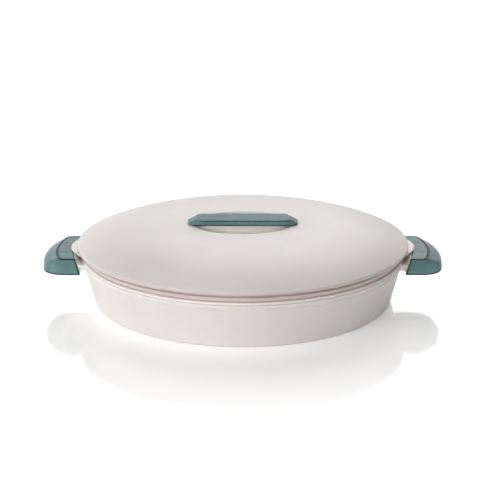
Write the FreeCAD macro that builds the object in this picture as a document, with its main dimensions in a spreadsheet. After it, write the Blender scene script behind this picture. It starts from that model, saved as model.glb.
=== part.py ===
import FreeCAD, Part
import math
import os
import Sketcher

# Insulated chapati casserole, in millimetres.
# The origin is the centre of the base's underside on the table, +Z is up, +X points at the right handle.
# The base, the dish and the lid share the Z axis. The dish and the lid are modelled from their own lowest
# plane and are set down on their seats in the base, with the casserole closed.

doc = FreeCAD.newDocument("chapati_casserole")

# ---------------------------------------------------------------- driving dimensions

DIMENSIONS = [
    ("base_height", 44.0, "table to the top of the base rim"),
    ("base_taper", 11.0, "the foot stands inside the rim by this"),
    ("base_rim_radius", 150.0, "outside of the rim bead"),
    ("rim_width", 7.0, "width of the base rim"),
    ("bead_height", 2.0, "height of the rim bead"),
    ("bead_overhang", 0.7, "the bead stands out from the band below it"),
    ("band_height", 4.0, "plain band below the rim bead"),
    ("band_step", 0.5, "the band stands out from the wall below it"),
    ("shell_wall", 2.0, "wall of the outer shells"),
    ("seam_groove", 0.6, "chamfer that shows the seam under the bead"),
    ("foot_recess", 1.0, "hollow of the underside inside the foot ring"),
    ("foot_ring_width", 7.0, "width of the foot ring"),
    ("foot_round", 2.5, "rounding of the outer foot edge"),
    ("shell_floor", 1.8, "floor of the outer shell"),
    ("liner_wall", 1.7, "wall of the inner liners"),
    ("base_floor_thickness", 7.0, "table to the inner floor"),
    ("ledge_depth", 10.3, "rim to the inner ledge"),
    ("ledge_width", 6.0, "width of the inner ledge"),
    ("liner_taper", 5.5, "the inner wall narrows by this from the ledge to the floor"),
    ("floor_round", 10.0, "rounding between inner wall and inner floor"),
    ("edge_round", 1.0, "rounding of the ledge edge"),
    ("rim_round", 1.4, "rounding of the rim bead"),
    ("bead_under_round", 0.4, "rounding of the bead's lower edge"),
    ("foam_gap", 0.1, "the foam stays this far from curved walls"),
    ("plug_radius", 6.0, "stem of a foam plug"),
    ("plug_head_radius", 9.0, "head of a foam plug"),
    ("plug_head_height", 0.7, "head of a foam plug"),
    ("plug_clearance", 0.1, "plug stem in its hole"),
    ("neck_setback", 2.8, "sides of an ear's neck inside the sides of the cap"),
    ("neck_height", 6.0, "height of the neck of an ear"),
    ("neck_line", 1.0, "depth and height of the line round the neck"),
    ("neck_rise", 3.6, "hollow curve from the top of the neck up to the flange"),
    ("neck_length", 8.0, "rim to the inner face of a handle cap at its top"),
    ("cap_rise", 2.7, "top of a handle cap above the rim"),
    ("cap_drop", 10.9, "bottom of a handle cap below the rim"),
    ("cap_shoulder_drop", 2.8, "shoulder of a handle cap below the rim"),
    ("cap_length", 28.8, "inner face to the outermost point of a handle cap"),
    ("cap_shoulder_inset", 1.0, "the shoulder stands inside the outermost point by this"),
    ("cap_panel_length", 15.8, "inner face to the outer edge of the flat panel on top"),
    ("cap_half_width", 42.3, "half width at the bottom"),
    ("cap_shoulder_narrowing", 2.1, "the shoulder is narrower than the bottom, each side"),
    ("cap_panel_narrowing", 4.9, "the panel is narrower than the bottom, each side"),
    ("cap_bulge_radius", 110.0, "curve of the outer side"),
    ("cap_corner_radius", 20.0, "outer corners at the bottom and the shoulder"),
    ("cap_panel_corner_radius", 5.0, "outer corners of the flat panel"),
    ("cap_wall", 2.2, "wall of a handle cap"),
    ("flange_thickness", 1.5, "flange that the cap butts against"),
    ("core_setback", 2.3, "the ear under the cap ends this far inside the panel's edge"),
    ("core_wall", 2.0, "walls of the hollow ear under the cap"),
    ("core_lift", 2.5, "the ear ends this far above the bottom of the cap"),
    ("clip_spacing", 28.0, "between the two clips of a handle cap"),
    ("clip_length", 7.0, "length of a clip along X"),
    ("clip_thickness", 1.6, "thickness of a clip"),
    ("clip_depth", 5.2, "how far a clip reaches below the cap's top wall"),
    ("clip_hook", 0.8, "hook of a clip"),
    ("fit_gap", 0.15, "clearance between clipped pieces"),
    ("seat_gap", 0.3, "the dish and the lid stay this far above their seats"),
    ("dish_height", 40.7, "foot to rim of the dish"),
    ("dish_foot_height", 2.2, "height of the foot ring"),
    ("dish_foot_inset", 22.8, "foot ring inside the bottom edge"),
    ("dish_foot_width", 5.0, "width of the foot ring"),
    ("dish_taper", 6.8, "the wall narrows by this from under the rim to the bottom edge"),
    ("dish_bottom_round", 2.0, "rounding of the bottom edge"),
    ("dish_rim_overhang", 1.4, "the rim stands out from the wall by this"),
    ("dish_clearance", 2.0, "dish rim inside the ledge of the base"),
    ("dish_rim_height", 3.0, "height of the rim roll"),
    ("dish_rim_round", 1.8, "rounding of the rim roll"),
    ("dish_rim_under_round", 0.8, "rounding of the rim roll's lower edge"),
    ("dish_rim_width", 5.2, "width of the dish rim"),
    ("dish_floor", 4.0, "thickness of the dish floor"),
    ("dish_inner_taper", 7.8, "the inner wall narrows by this from the rim to the floor"),
    ("dish_inner_round", 12.0, "rounding between the dish's inner wall and floor"),
    ("dish_groove_first", 6.2, "rim to the first groove"),
    ("dish_groove_last", 9.3, "foot to the last groove"),
    ("dish_groove_depth", 0.7, "depth of a groove"),
    ("dish_groove_half_height", 0.65, "half height of a groove's mouth"),
    ("lip_depth", 3.0, "the lid's lip reaches this far below its ring"),
    ("lip_clearance", 0.6, "lip of the lid inside the base rim"),
    ("ring_inset", 2.0, "lower ring of the lid inside the base rim"),
    ("ring_height", 3.6, "height of the lower ring"),
    ("ring_recess", 2.0, "the wall above the ring stands back"),
    ("ring_seat", 9.6, "top of the liner's wall above the ring's underside"),
    ("ring_round", 0.5, "rounding of the ring's edges"),
    ("lid_overhang", 4.2, "edge of the lid beyond the base rim"),
    ("lid_edge_drop", 7.6, "underside of the lid's edge above the ring's underside"),
    ("lid_edge_height", 2.6, "height of the lid's edge"),
    ("lid_edge_width", 2.6, "width of the lid's edge"),
    ("lid_edge_round", 1.8, "the lid's surface rolls over into its edge by this"),
    ("lid_edge_under_round", 0.5, "rounding under the lid's edge"),
    ("dome_height", 16.9, "edge of the lid to its crown"),
    ("shoulder_width", 59.2, "width of the lid's steeper shoulder"),
    ("crown_drop", 2.6, "fall over the flatter crown"),
    ("seat_width", 2.2, "width of the wall and rib that join liner and shell"),
    ("foam_under_well", 2.0, "foam between the finger well and the liner"),
    ("ceiling_inset", 20.0, "flat part of the lid's inner ceiling inside the lower ring"),
    ("ceiling_round", 9.0, "rounding at the edge of the ceiling"),
    ("tab_projection", 6.6, "a thumb tab stands out from the lid by this"),
    ("tab_radius", 46.0, "curve of a thumb tab"),
    ("tab_blend", 12.0, "hollow curve from a thumb tab to the lid"),
    ("tab_clearance", 0.4, "a thumb tab clears the handle cap below it by this"),
    ("tab_thickness", 1.9, "thickness of a thumb tab"),
    ("well_half_length", 47.0, "finger well along X"),
    ("well_half_width", 38.0, "finger well along Y"),
    ("well_depth", 10.0, "depth of the finger well below the crown"),
    ("well_flare", 1.0, "centre of the well's curve above the crown"),
    ("bar_bottom", 0.5, "underside of the bar below the crown"),
    ("bar_height", 5.4, "height of the bar"),
    ("bar_landing", 4.3, "the bar reaches past the finger well by this at each end"),
    ("bar_half_width", 12.9, "half width of the bar at its widest"),
    ("bar_widest", 1.2, "height of the widest line above the bar's underside"),
    ("bar_end_slope", 7.8, "slope of the bar's ends along X"),
    ("bar_side_slope", 0.9, "slope of the bar's sides along Y"),
    ("bar_tuck", 1.2, "the underside stands back from the widest line"),
    ("bar_end_round", 9.0, "corners of the bar"),
    ("bar_top_round", 7.0, "corners of the bar's top face"),
    ("tongue_offset", 0.2, "tongue of the bar from the end of its underside"),
    ("tongue_thickness", 1.6, "tongue of the bar along X"),
    ("tongue_half_width", 5.0, "half width of a tongue"),
    ("tongue_hook", 0.8, "hook of a tongue"),
    ("tongue_reach", 2.4, "catch to tip of a tongue"),
    ("pocket_room", 0.8, "room in the foam round a tongue"),
]

DISH_GROOVES = 4
# The rounding of a cap's shoulder takes up this share of the sides that meet there, in these steps.
SHOULDER_SHARE = 0.35
SHOULDER_STEPS = (0, 0.25, 0.5, 0.75, 1)

sheet = doc.addObject("Spreadsheet::Sheet", "dims")
for row, (alias, value, meaning) in enumerate(DIMENSIONS, start=1):
    sheet.set(f"A{row}", meaning)
    sheet.set(f"B{row}", str(value))
    sheet.setAlias(f"B{row}", alias)
doc.recompute()


class Size:
    """A length that knows its value and the sheet expression it follows."""

    def __init__(self, value, text):
        self.value = value
        self.text = text

    def __add__(self, other):
        other = as_size(other)
        return Size(self.value + other.value, f"({self.text} + {other.text})")

    def __sub__(self, other):
        other = as_size(other)
        return Size(self.value - other.value, f"({self.text} - {other.text})")

    def __mul__(self, other):
        other = as_size(other)
        return Size(self.value * other.value, f"({self.text} * {other.text})")

    def __truediv__(self, other):
        other = as_size(other)
        return Size(self.value / other.value, f"({self.text} / {other.text})")

    def __neg__(self):
        return Size(-self.value, f"(0 - {self.text})")

    def __radd__(self, other):
        return as_size(other) + self

    def __rsub__(self, other):
        return as_size(other) - self

    def __rmul__(self, other):
        return as_size(other) * self


def as_size(number):
    return number if isinstance(number, Size) else Size(float(number), repr(float(number)))


def root(size):
    return Size(math.sqrt(size.value), f"sqrt({size.text})")


SIZES = {alias: Size(float(sheet.get(alias)), f"dims.{alias}") for alias, _, _ in DIMENSIONS}


def dim(alias):
    return SIZES[alias]


# ---------------------------------------------------------------- sketch and feature helpers

LEVEL = 0.01
ORIGIN_POINT = (-1, 1)
X_AXIS = -1
Y_AXIS = -2
START, END = 1, 2


def corner(x, y, round_by=None, arc=None):
    """A corner of an outline. round_by rounds it, arc is the radius of the side that leaves it."""
    return {"x": as_size(x), "y": as_size(y), "round": round_by, "arc": arc}


def new_body(name):
    body = doc.addObject("PartDesign::Body", name)
    body.Label = name
    return body


def new_sketch(body, name, role, height=None):
    sketch = body.newObject("Sketcher::SketchObject", name)
    plane = next(f for f in body.Origin.OriginFeatures if f.Role == role)
    sketch.AttachmentSupport = [(plane, "")]
    sketch.MapMode = "FlatFace"
    if height is not None:
        sketch.setExpression("AttachmentOffset.Base.z", height.text)
    return sketch


def bind(sketch, constraint, size):
    index = sketch.addConstraint(constraint)
    sketch.setExpression(f"Constraints[{index}]", size.text)


def pin_point(sketch, geo, pos, x, y):
    """Tie a point to the sheet by its two coordinates."""
    for kind, size, axis in (("DistanceX", x, Y_AXIS), ("DistanceY", y, X_AXIS)):
        if abs(size.value) < 1e-9:
            sketch.addConstraint(Sketcher.Constraint("PointOnObject", geo, pos, axis))
        elif size.value > 0:
            bind(sketch, Sketcher.Constraint(kind, *ORIGIN_POINT, geo, pos, size.value), size)
        else:
            bind(sketch, Sketcher.Constraint(kind, geo, pos, *ORIGIN_POINT, -size.value), -size)


def vector(x, y):
    return FreeCAD.Vector(x, y, 0)


def rounding(before, at, after, radius):
    """Tangent points and centre of the arc that rounds the corner at."""
    one = (before - at).normalize()
    two = (after - at).normalize()
    half = one.getAngle(two) / 2
    reach = radius / math.tan(half)
    middle = (one + two).normalize()
    return at + one * reach, at + two * reach, at + middle * (radius / math.sin(half))


def arc_centre(start, end, radius):
    """Centre of the shorter arc from start to end, to the left of the way for a positive radius."""
    chord = end - start
    side = vector(-chord.y, chord.x).normalize()
    rise = math.sqrt(radius * radius - chord.Length ** 2 / 4)
    return (start + end) / 2 + side * math.copysign(rise, radius)


def counterclockwise_arc(centre, one, two, radius):
    circle = Part.Circle(centre, FreeCAD.Vector(0, 0, 1), radius)
    angles = [math.atan2(p.y - centre.y, p.x - centre.x) for p in (one, two)]
    return Part.ArcOfCircle(circle, *angles)


def outline(sketch, corners):
    """Draw a closed outline whose corners and radii follow the sheet."""
    count = len(corners)
    points = [vector(c["x"].value, c["y"].value) for c in corners]
    leave = list(points)
    arrive = list(points)
    centres = {}
    for i, c in enumerate(corners):
        if c["round"] is not None:
            before, after = points[i - 1], points[(i + 1) % count]
            arrive[i], leave[i], centres[i] = rounding(before, points[i], after, c["round"].value)
    sides = []
    for i, c in enumerate(corners):
        start, end = leave[i], arrive[(i + 1) % count]
        if c["arc"] is None:
            geo = sketch.addGeometry(Part.LineSegment(start, end), False)
            sides.append((geo, START, END))
            continue
        radius = c["arc"].value
        centre = arc_centre(start, end, radius)
        if radius > 0:
            geo = sketch.addGeometry(counterclockwise_arc(centre, start, end, radius), False)
            sides.append((geo, START, END))
        else:
            geo = sketch.addGeometry(counterclockwise_arc(centre, end, start, -radius), False)
            sides.append((geo, END, START))
    for i, c in enumerate(corners):
        last, _, last_end = sides[i - 1]
        this, this_start, _ = sides[i]
        if c["round"] is None:
            sketch.addConstraint(Sketcher.Constraint("Coincident", last, last_end, this, this_start))
            pin_point(sketch, this, this_start, c["x"], c["y"])
        else:
            turn = (points[i] - points[i - 1]).cross(points[(i + 1) % count] - points[i]).z
            one, two = (arrive[i], leave[i]) if turn > 0 else (leave[i], arrive[i])
            arc = sketch.addGeometry(counterclockwise_arc(centres[i], one, two, c["round"].value), False)
            arc_in, arc_out = (START, END) if turn > 0 else (END, START)
            sketch.addConstraint(Sketcher.Constraint("Tangent", last, last_end, arc, arc_in))
            sketch.addConstraint(Sketcher.Constraint("Tangent", arc, arc_out, this, this_start))
            bind(sketch, Sketcher.Constraint("Radius", arc, c["round"].value), c["round"])
            mark = sketch.addGeometry(Part.Point(points[i]), True)
            sketch.addConstraint(Sketcher.Constraint("PointOnObject", mark, START, last))
            sketch.addConstraint(Sketcher.Constraint("PointOnObject", mark, START, this))
            pin_point(sketch, mark, START, c["x"], c["y"])
    for i, c in enumerate(corners):
        if c["arc"] is not None:
            radius = c["arc"] if c["arc"].value > 0 else -c["arc"]
            bind(sketch, Sketcher.Constraint("Radius", sides[i][0], radius.value), radius)


def turned(name, corners):
    """A body turned about Z from a half section in the XZ plane."""
    body = new_body(name)
    sketch = new_sketch(body, f"{name}_section", "XZ_Plane")
    outline(sketch, corners)
    turn = body.newObject("PartDesign::Revolution", f"{name}_turn")
    turn.Profile = sketch
    turn.ReferenceAxis = (sketch, ["V_Axis"])
    turn.Angle = 360
    sketch.Visibility = False
    return body


def extruded(name, role, corners, start, length):
    """A body with an outline on an origin plane, from start along the plane's normal by length."""
    body = new_body(name)
    sketch = new_sketch(body, f"{name}_outline", role, as_size(start))
    outline(sketch, corners)
    pad = body.newObject("PartDesign::Pad", f"{name}_pad")
    pad.Profile = sketch
    pad.setExpression("Length", as_size(length).text)
    return body


def lofted(name, sections):
    """A body with straight sides through outlines in plan, given as (height, corners)."""
    body = new_body(name)
    sketches = []
    for number, (height, corners) in enumerate(sections):
        sketch = new_sketch(body, f"{name}_plan_{number}", "XY_Plane", height)
        outline(sketch, corners)
        sketches.append(sketch)
    loft = body.newObject("PartDesign::AdditiveLoft", f"{name}_loft")
    loft.Profile = sketches[0]
    loft.Sections = sketches[1:]
    loft.Ruled = True
    return body


def round_edges(body, name, size, wanted):
    """Round the edges of a body that wanted picks."""
    doc.recompute()
    last = body.Tip
    names = [f"Edge{i}" for i, edge in enumerate(last.Shape.Edges, start=1) if wanted(edge)]
    fillet = body.newObject("PartDesign::Fillet", name)
    fillet.Base = (last, names)
    fillet.setExpression("Radius", size.text)


def cut(name, base, tool):
    result = doc.addObject("Part::Cut", name)
    result.Base = base
    result.Tool = tool
    result.Label = name
    return result


def common(name, *shapes):
    result = doc.addObject("Part::MultiCommon", name)
    result.Shapes = list(shapes)
    result.Label = name
    return result


def fuse(name, *shapes):
    result = doc.addObject("Part::MultiFuse", name)
    result.Shapes = list(shapes)
    result.Label = name
    return result


def mirrored(name, source):
    """The same piece on the other side of the YZ plane."""
    result = doc.addObject("Part::Mirroring", name)
    result.Source = source
    result.Normal = FreeCAD.Vector(1, 0, 0)
    result.Base = FreeCAD.Vector(0, 0, 0)
    result.Label = name
    return result


def rectangle(x_low, x_high, y_low, y_high):
    return [corner(x_low, y_low), corner(x_high, y_low), corner(x_high, y_high), corner(x_low, y_high)]


# ---------------------------------------------------------------- lines that follow the base rim

base_foot_radius = dim("base_rim_radius") - dim("base_taper")
rim_inner_radius = dim("base_rim_radius") - dim("rim_width")
ledge_radius = rim_inner_radius - dim("ledge_width")
floor_radius = ledge_radius - dim("liner_taper")

cap_inner_radius = dim("base_rim_radius") + dim("neck_length")
cap_reach = cap_inner_radius + dim("cap_length")
cap_shoulder_reach = cap_reach - dim("cap_shoulder_inset")
cap_panel_reach = cap_inner_radius + dim("cap_panel_length")
cap_shoulder_half_width = dim("cap_half_width") - dim("cap_shoulder_narrowing")
cap_panel_half_width = dim("cap_half_width") - dim("cap_panel_narrowing")
neck_half_width = dim("cap_half_width") - dim("neck_setback")
core_reach = cap_panel_reach - dim("core_setback")
clip_end = core_reach - dim("core_wall") - dim("fit_gap") * 2
clip_start = clip_end - dim("clip_length")

dish_rim_radius = ledge_radius - dim("dish_clearance")
dish_neck_radius = dish_rim_radius - dim("dish_rim_overhang")
dish_bottom_radius = dish_neck_radius - dim("dish_taper")
dish_foot_radius = dish_bottom_radius - dim("dish_foot_inset")
dish_mouth_radius = dish_rim_radius - dim("dish_rim_width")
dish_inner_radius = dish_mouth_radius - dim("dish_inner_taper")

ring_radius = dim("base_rim_radius") - dim("ring_inset")
ceiling_radius = ring_radius - dim("ceiling_inset")
lid_radius = dim("base_rim_radius") + dim("lid_overhang")
crown_span = lid_radius - dim("shoulder_width")
tab_reach = lid_radius + dim("tab_projection")
bar_half_length = dim("well_half_length") + dim("bar_landing")
bar_top_half_length = bar_half_length - dim("bar_end_slope")
bar_top_half_width = dim("bar_half_width") - dim("bar_side_slope")

# ---------------------------------------------------------------- the base: shared lines

rim_top = dim("base_height")
bead_bottom = rim_top - dim("bead_height")
band_bottom = bead_bottom - dim("band_height")
band_radius = dim("base_rim_radius") - dim("bead_overhang")
wall_top_radius = band_radius - dim("band_step")
wall_slope = (wall_top_radius - base_foot_radius) / band_bottom
shell_floor_top = dim("foot_recess") + dim("shell_floor")
liner_floor_top = dim("base_floor_thickness")
liner_floor_bottom = liner_floor_top - dim("liner_wall")
ledge_top = rim_top - dim("ledge_depth")
ledge_bottom = ledge_top - dim("liner_wall")


def shell_outside(height):
    """Radius of the base's outer wall at a height."""
    return base_foot_radius + wall_slope * height


def shell_inside(height):
    return shell_outside(height) - dim("shell_wall")


# ---------------------------------------------------------------- base_outer_shell without its ears

hole_radius = dim("plug_radius") + dim("plug_clearance")
base_shell_blank = turned("base_shell_blank", [
    corner(hole_radius, dim("foot_recess")),
    corner(base_foot_radius - dim("foot_ring_width"), dim("foot_recess")),
    corner(base_foot_radius - dim("foot_ring_width"), 0),
    corner(base_foot_radius, 0, round_by=dim("foot_round")),
    corner(wall_top_radius, band_bottom),
    corner(band_radius, band_bottom),
    corner(band_radius, bead_bottom - dim("seam_groove")),
    corner(band_radius - dim("seam_groove"), bead_bottom),
    corner(band_radius - dim("shell_wall"), bead_bottom),
    corner(shell_inside(band_bottom), band_bottom),
    corner(shell_inside(shell_floor_top), shell_floor_top, round_by=dim("foot_round")),
    corner(hole_radius, shell_floor_top),
])

# ---------------------------------------------------------------- handle forms, right side

cap_top = rim_top + dim("cap_rise")
cap_bottom = rim_top - dim("cap_drop")
cap_shoulder = rim_top - dim("cap_shoulder_drop")


def handle_radius(offset, height):
    """Radius at a height of a face that is parallel to the base wall, offset from the cap's inner face."""
    return cap_inner_radius + offset + wall_slope * (height - cap_top)


def hood_plan(reach, half_width, corner_radius):
    """Plan of a handle: straight sides, rounded corners and a gently bulging outer side."""
    bulge = dim("cap_bulge_radius")
    inner = dim("base_rim_radius") - dim("cap_drop")
    centre_x = reach - bulge
    corner_y = half_width - corner_radius
    corner_x = centre_x + root((bulge - corner_radius) * (bulge - corner_radius) - corner_y * corner_y)
    share = bulge / (bulge - corner_radius)
    touch_x = centre_x + (corner_x - centre_x) * share
    touch_y = corner_y * share
    return [
        corner(inner, -half_width),
        corner(corner_x, -half_width, arc=corner_radius),
        corner(touch_x, -touch_y, arc=bulge),
        corner(touch_x, touch_y, arc=corner_radius),
        corner(corner_x, half_width),
        corner(inner, half_width),
    ]


def hood(name, grow, rise):
    """The form of a handle cap, its faces moved out by grow and its top by rise.

    The sections run from the bottom over the shoulder to the panel. The extra ones round the shoulder.
    """
    bottom = (cap_bottom, cap_reach, dim("cap_half_width"), dim("cap_corner_radius"))
    shoulder = (cap_shoulder + rise, cap_shoulder_reach, cap_shoulder_half_width,
                dim("cap_corner_radius"))
    panel = (cap_top + rise, cap_panel_reach, cap_panel_half_width,
             dim("cap_panel_corner_radius"))
    weights = [(1, 0, 0)]
    for step in SHOULDER_STEPS:
        low = SHOULDER_SHARE * (1 - step) ** 2
        high = SHOULDER_SHARE * step ** 2
        weights.append((low, 1 - low - high, high))
    weights.append((0, 0, 1))
    sections = []
    for weight in weights:
        height, reach, half_width, corner_radius = (
            sum((size * share for size, share in zip(sizes, weight) if share), as_size(0))
            for sizes in zip(bottom, shoulder, panel))
        sections.append((height, hood_plan(reach + grow, half_width + grow, corner_radius + grow)))
    return lofted(name, sections)


def handle_ring(name, inner_offset, outer_offset, bottom, top):
    """A ring round Z whose inner and outer faces are parallel to the base wall."""
    return turned(name, [
        corner(handle_radius(inner_offset, bottom), bottom),
        corner(handle_radius(outer_offset, bottom), bottom),
        corner(handle_radius(outer_offset, top), top),
        corner(handle_radius(inner_offset, top), top),
    ])


beyond = cap_reach + dim("cap_half_width")
far_offset = beyond - cap_inner_radius
wall_offset = shell_outside(cap_top) - cap_inner_radius
neck_top = bead_bottom
neck_bottom = neck_top - dim("neck_height")
neck_middle = neck_top - dim("neck_height") / 2
neck_inset = neck_half_width - dim("neck_line")
flange_outer = -dim("fit_gap")
flange_inner = flange_outer - dim("flange_thickness")
plate_top = cap_top - dim("cap_wall") - dim("fit_gap")
plate_bottom = plate_top - dim("core_wall")
core_shrink = -(dim("cap_wall") + dim("fit_gap"))
core_inner_shrink = core_shrink - dim("core_wall")
core_bottom = cap_bottom + dim("core_lift")
hook_top = plate_bottom - dim("fit_gap")
clip_tip = cap_top - dim("cap_wall") - dim("clip_depth")
clip_root = cap_top - dim("cap_wall") / 2


def reach_box(name, reach, bottom, top):
    """A box from the middle of the part out to a reach, wide enough for a whole handle."""
    return extruded(name, "XY_Plane", rectangle(0, reach, -beyond, beyond), bottom, top - bottom)


# ---------------------------------------------------------------- right_handle_cap and left_handle_cap

cap_form = hood("cap_form", as_size(0), as_size(0))
cap_hollow = hood("cap_hollow", -dim("cap_wall"), -dim("cap_wall"))
cap_ring = handle_ring("cap_ring", as_size(0), far_offset, cap_bottom, cap_top)
cap_skin = cut("cap_skin", cap_form, cap_hollow)
cap_shell = common("cap_shell", cap_skin, cap_ring)


def clip(name, side):
    """A hooked tongue under the cap, on one side of its middle."""
    inner_face = (dim("clip_spacing") / 2 - dim("clip_thickness") / 2) * side
    outer_face = (dim("clip_spacing") / 2 + dim("clip_thickness") / 2) * side
    hook_face = outer_face + dim("clip_hook") * side
    return extruded(name, "YZ_Plane", [
        corner(inner_face, clip_root),
        corner(inner_face, clip_tip),
        corner(outer_face, clip_tip),
        corner(hook_face, hook_top - dim("clip_hook")),
        corner(hook_face, hook_top),
        corner(outer_face, hook_top),
        corner(outer_face, clip_root),
    ], clip_start, dim("clip_length"))


front_clip = clip("front_clip", -1)
back_clip = clip("back_clip", 1)
right_handle_cap = fuse("right_handle_cap", cap_shell, front_clip, back_clip)
left_handle_cap = mirrored("left_handle_cap", right_handle_cap)

# ---------------------------------------------------------------- ears of the base_outer_shell

neck_bar = extruded("neck_bar", "YZ_Plane", [
    corner(-neck_inset, neck_bottom),
    corner(neck_inset, neck_bottom),
    corner(neck_inset, neck_middle),
    corner(neck_half_width, neck_middle),
    corner(neck_half_width, neck_top),
    corner(-neck_half_width, neck_top),
    corner(-neck_half_width, neck_middle),
    corner(-neck_inset, neck_middle),
], 0, cap_reach)
flange_middle = flange_inner + dim("flange_thickness") / 2
wall_middle = wall_offset - dim("shell_wall") / 2
neck_ring = handle_ring("neck_ring", wall_middle, flange_middle, neck_bottom, neck_top)
neck = common("neck", neck_bar, neck_ring)
rise_ring = turned("rise_ring", [
    corner(handle_radius(wall_middle, neck_middle), neck_middle),
    corner(handle_radius(flange_middle, neck_middle), neck_middle),
    corner(handle_radius(flange_middle, cap_top), cap_top),
    corner(handle_radius(flange_inner, cap_top), cap_top),
    corner(handle_radius(flange_inner, neck_top), neck_top, round_by=dim("neck_rise")),
    corner(handle_radius(wall_middle, neck_top), neck_top),
])
neck_curve = common("neck_curve", cap_form, rise_ring, reach_box("neck_box", cap_reach, neck_middle, cap_top))

flange_ring = handle_ring("flange_ring", flange_inner, flange_outer, core_bottom, cap_top)
flange = common("flange", cap_form, flange_ring)

core_form = hood("core_form", core_shrink, core_shrink)
core_ring = handle_ring("core_ring", flange_middle, far_offset, core_bottom, cap_top)
core_box = reach_box("core_box", core_reach, core_bottom, cap_top)
core_solid = common("core_solid", core_form, core_ring, core_box)
core_hollow_form = hood("core_hollow_form", core_inner_shrink, core_inner_shrink)
core_hollow_ring = handle_ring("core_hollow_ring", flange_outer, far_offset, cap_bottom, cap_top)
core_hollow_box = reach_box("core_hollow_box", core_reach - dim("core_wall"), cap_bottom, cap_top)
core_hollow = common("core_hollow", core_hollow_form, core_hollow_ring, core_hollow_box)
core_tray = cut("core_tray", core_solid, core_hollow)


def clip_slot(name, side):
    """The slot that a clip of the cap drops through."""
    middle = dim("clip_spacing") / 2
    room = dim("clip_thickness") / 2 + dim("fit_gap")
    inner_face = (middle - room) * side
    outer_face = (middle + room + dim("clip_hook")) * side
    return extruded(name, "YZ_Plane", [
        corner(inner_face, plate_bottom - dim("core_wall")),
        corner(outer_face, plate_bottom - dim("core_wall")),
        corner(outer_face, cap_top),
        corner(inner_face, cap_top),
    ], clip_start - dim("fit_gap"), dim("clip_length") + dim("fit_gap") * 2)


slots = fuse("slots", clip_slot("front_slot", -1), clip_slot("back_slot", 1))
ear_blank = fuse("ear_blank", neck, neck_curve, flange, core_tray)
right_ear = cut("right_ear", ear_blank, slots)
left_ear = mirrored("left_ear", right_ear)
base_outer_shell = fuse("base_outer_shell", base_shell_blank, right_ear, left_ear)

# ---------------------------------------------------------------- base_inner_liner

liner_outside = rim_inner_radius + dim("liner_wall")
base_inner_liner = turned("base_inner_liner", [
    corner(0, liner_floor_bottom),
    corner(floor_radius + dim("liner_wall"), liner_floor_bottom,
           round_by=dim("floor_round") + dim("liner_wall")),
    corner(ledge_radius + dim("liner_wall"), ledge_bottom),
    corner(liner_outside, ledge_bottom),
    corner(liner_outside, bead_bottom),
    corner(dim("base_rim_radius"), bead_bottom, round_by=dim("bead_under_round")),
    corner(dim("base_rim_radius"), rim_top, round_by=dim("rim_round")),
    corner(rim_inner_radius, rim_top, round_by=dim("rim_round")),
    corner(rim_inner_radius, ledge_top),
    corner(ledge_radius, ledge_top, round_by=dim("edge_round")),
    corner(floor_radius, liner_floor_top, round_by=dim("floor_round")),
    corner(0, liner_floor_top),
])

# ---------------------------------------------------------------- base_foam and base_foam_plug

foam_gap = dim("foam_gap")
base_foam = turned("base_foam", [
    corner(0, shell_floor_top),
    corner(shell_inside(shell_floor_top) - foam_gap, shell_floor_top,
           round_by=dim("foot_round") + foam_gap),
    corner(shell_inside(ledge_bottom) - foam_gap, ledge_bottom),
    corner(ledge_radius + dim("liner_wall") + foam_gap, ledge_bottom),
    corner(floor_radius + dim("liner_wall") + foam_gap, liner_floor_bottom,
           round_by=dim("floor_round") + dim("liner_wall")),
    corner(0, liner_floor_bottom),
])

base_foam_plug = turned("base_foam_plug", [
    corner(0, dim("foot_recess") - dim("plug_head_height")),
    corner(dim("plug_head_radius"), dim("foot_recess") - dim("plug_head_height")),
    corner(dim("plug_head_radius"), dim("foot_recess")),
    corner(dim("plug_radius"), dim("foot_recess")),
    corner(dim("plug_radius"), shell_floor_top),
    corner(0, shell_floor_top),
])

# ---------------------------------------------------------------- dish

dish_top = dim("dish_height")
dish_under = dim("dish_foot_height")
dish_rim_bottom = dish_top - dim("dish_rim_height")
dish_slope = (dish_neck_radius - dish_bottom_radius) / (dish_rim_bottom - dish_under)


def dish_outside(height):
    return dish_bottom_radius + dish_slope * (height - dish_under)


dish_groove_pitch = (dish_top - dim("dish_groove_first") - dim("dish_groove_last")) / (DISH_GROOVES - 1)


def dish_groove(number):
    """Three corners of one groove, from below."""
    middle = dish_top - dim("dish_groove_first") - dish_groove_pitch * number
    low = middle - dim("dish_groove_half_height")
    high = middle + dim("dish_groove_half_height")
    return [
        corner(dish_outside(low), low),
        corner(dish_outside(middle) - dim("dish_groove_depth"), middle),
        corner(dish_outside(high), high),
    ]


dish_side = []
for number in reversed(range(DISH_GROOVES)):
    dish_side += dish_groove(number)
dish_floor_top = dish_under + dim("dish_floor")
dish = turned("dish", [
    corner(0, dish_under),
    corner(dish_foot_radius - dim("dish_foot_width"), dish_under),
    corner(dish_foot_radius - dim("dish_foot_width"), 0),
    corner(dish_foot_radius, 0),
    corner(dish_foot_radius, dish_under),
    corner(dish_bottom_radius, dish_under, round_by=dim("dish_bottom_round")),
    *dish_side,
    corner(dish_neck_radius, dish_rim_bottom),
    corner(dish_rim_radius, dish_rim_bottom, round_by=dim("dish_rim_under_round")),
    corner(dish_rim_radius, dish_top, round_by=dim("dish_rim_round")),
    corner(dish_mouth_radius, dish_top, round_by=dim("dish_rim_round")),
    corner(dish_inner_radius, dish_floor_top, round_by=dim("dish_inner_round")),
    corner(0, dish_floor_top),
])

# ---------------------------------------------------------------- the lid: shared lines

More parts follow.
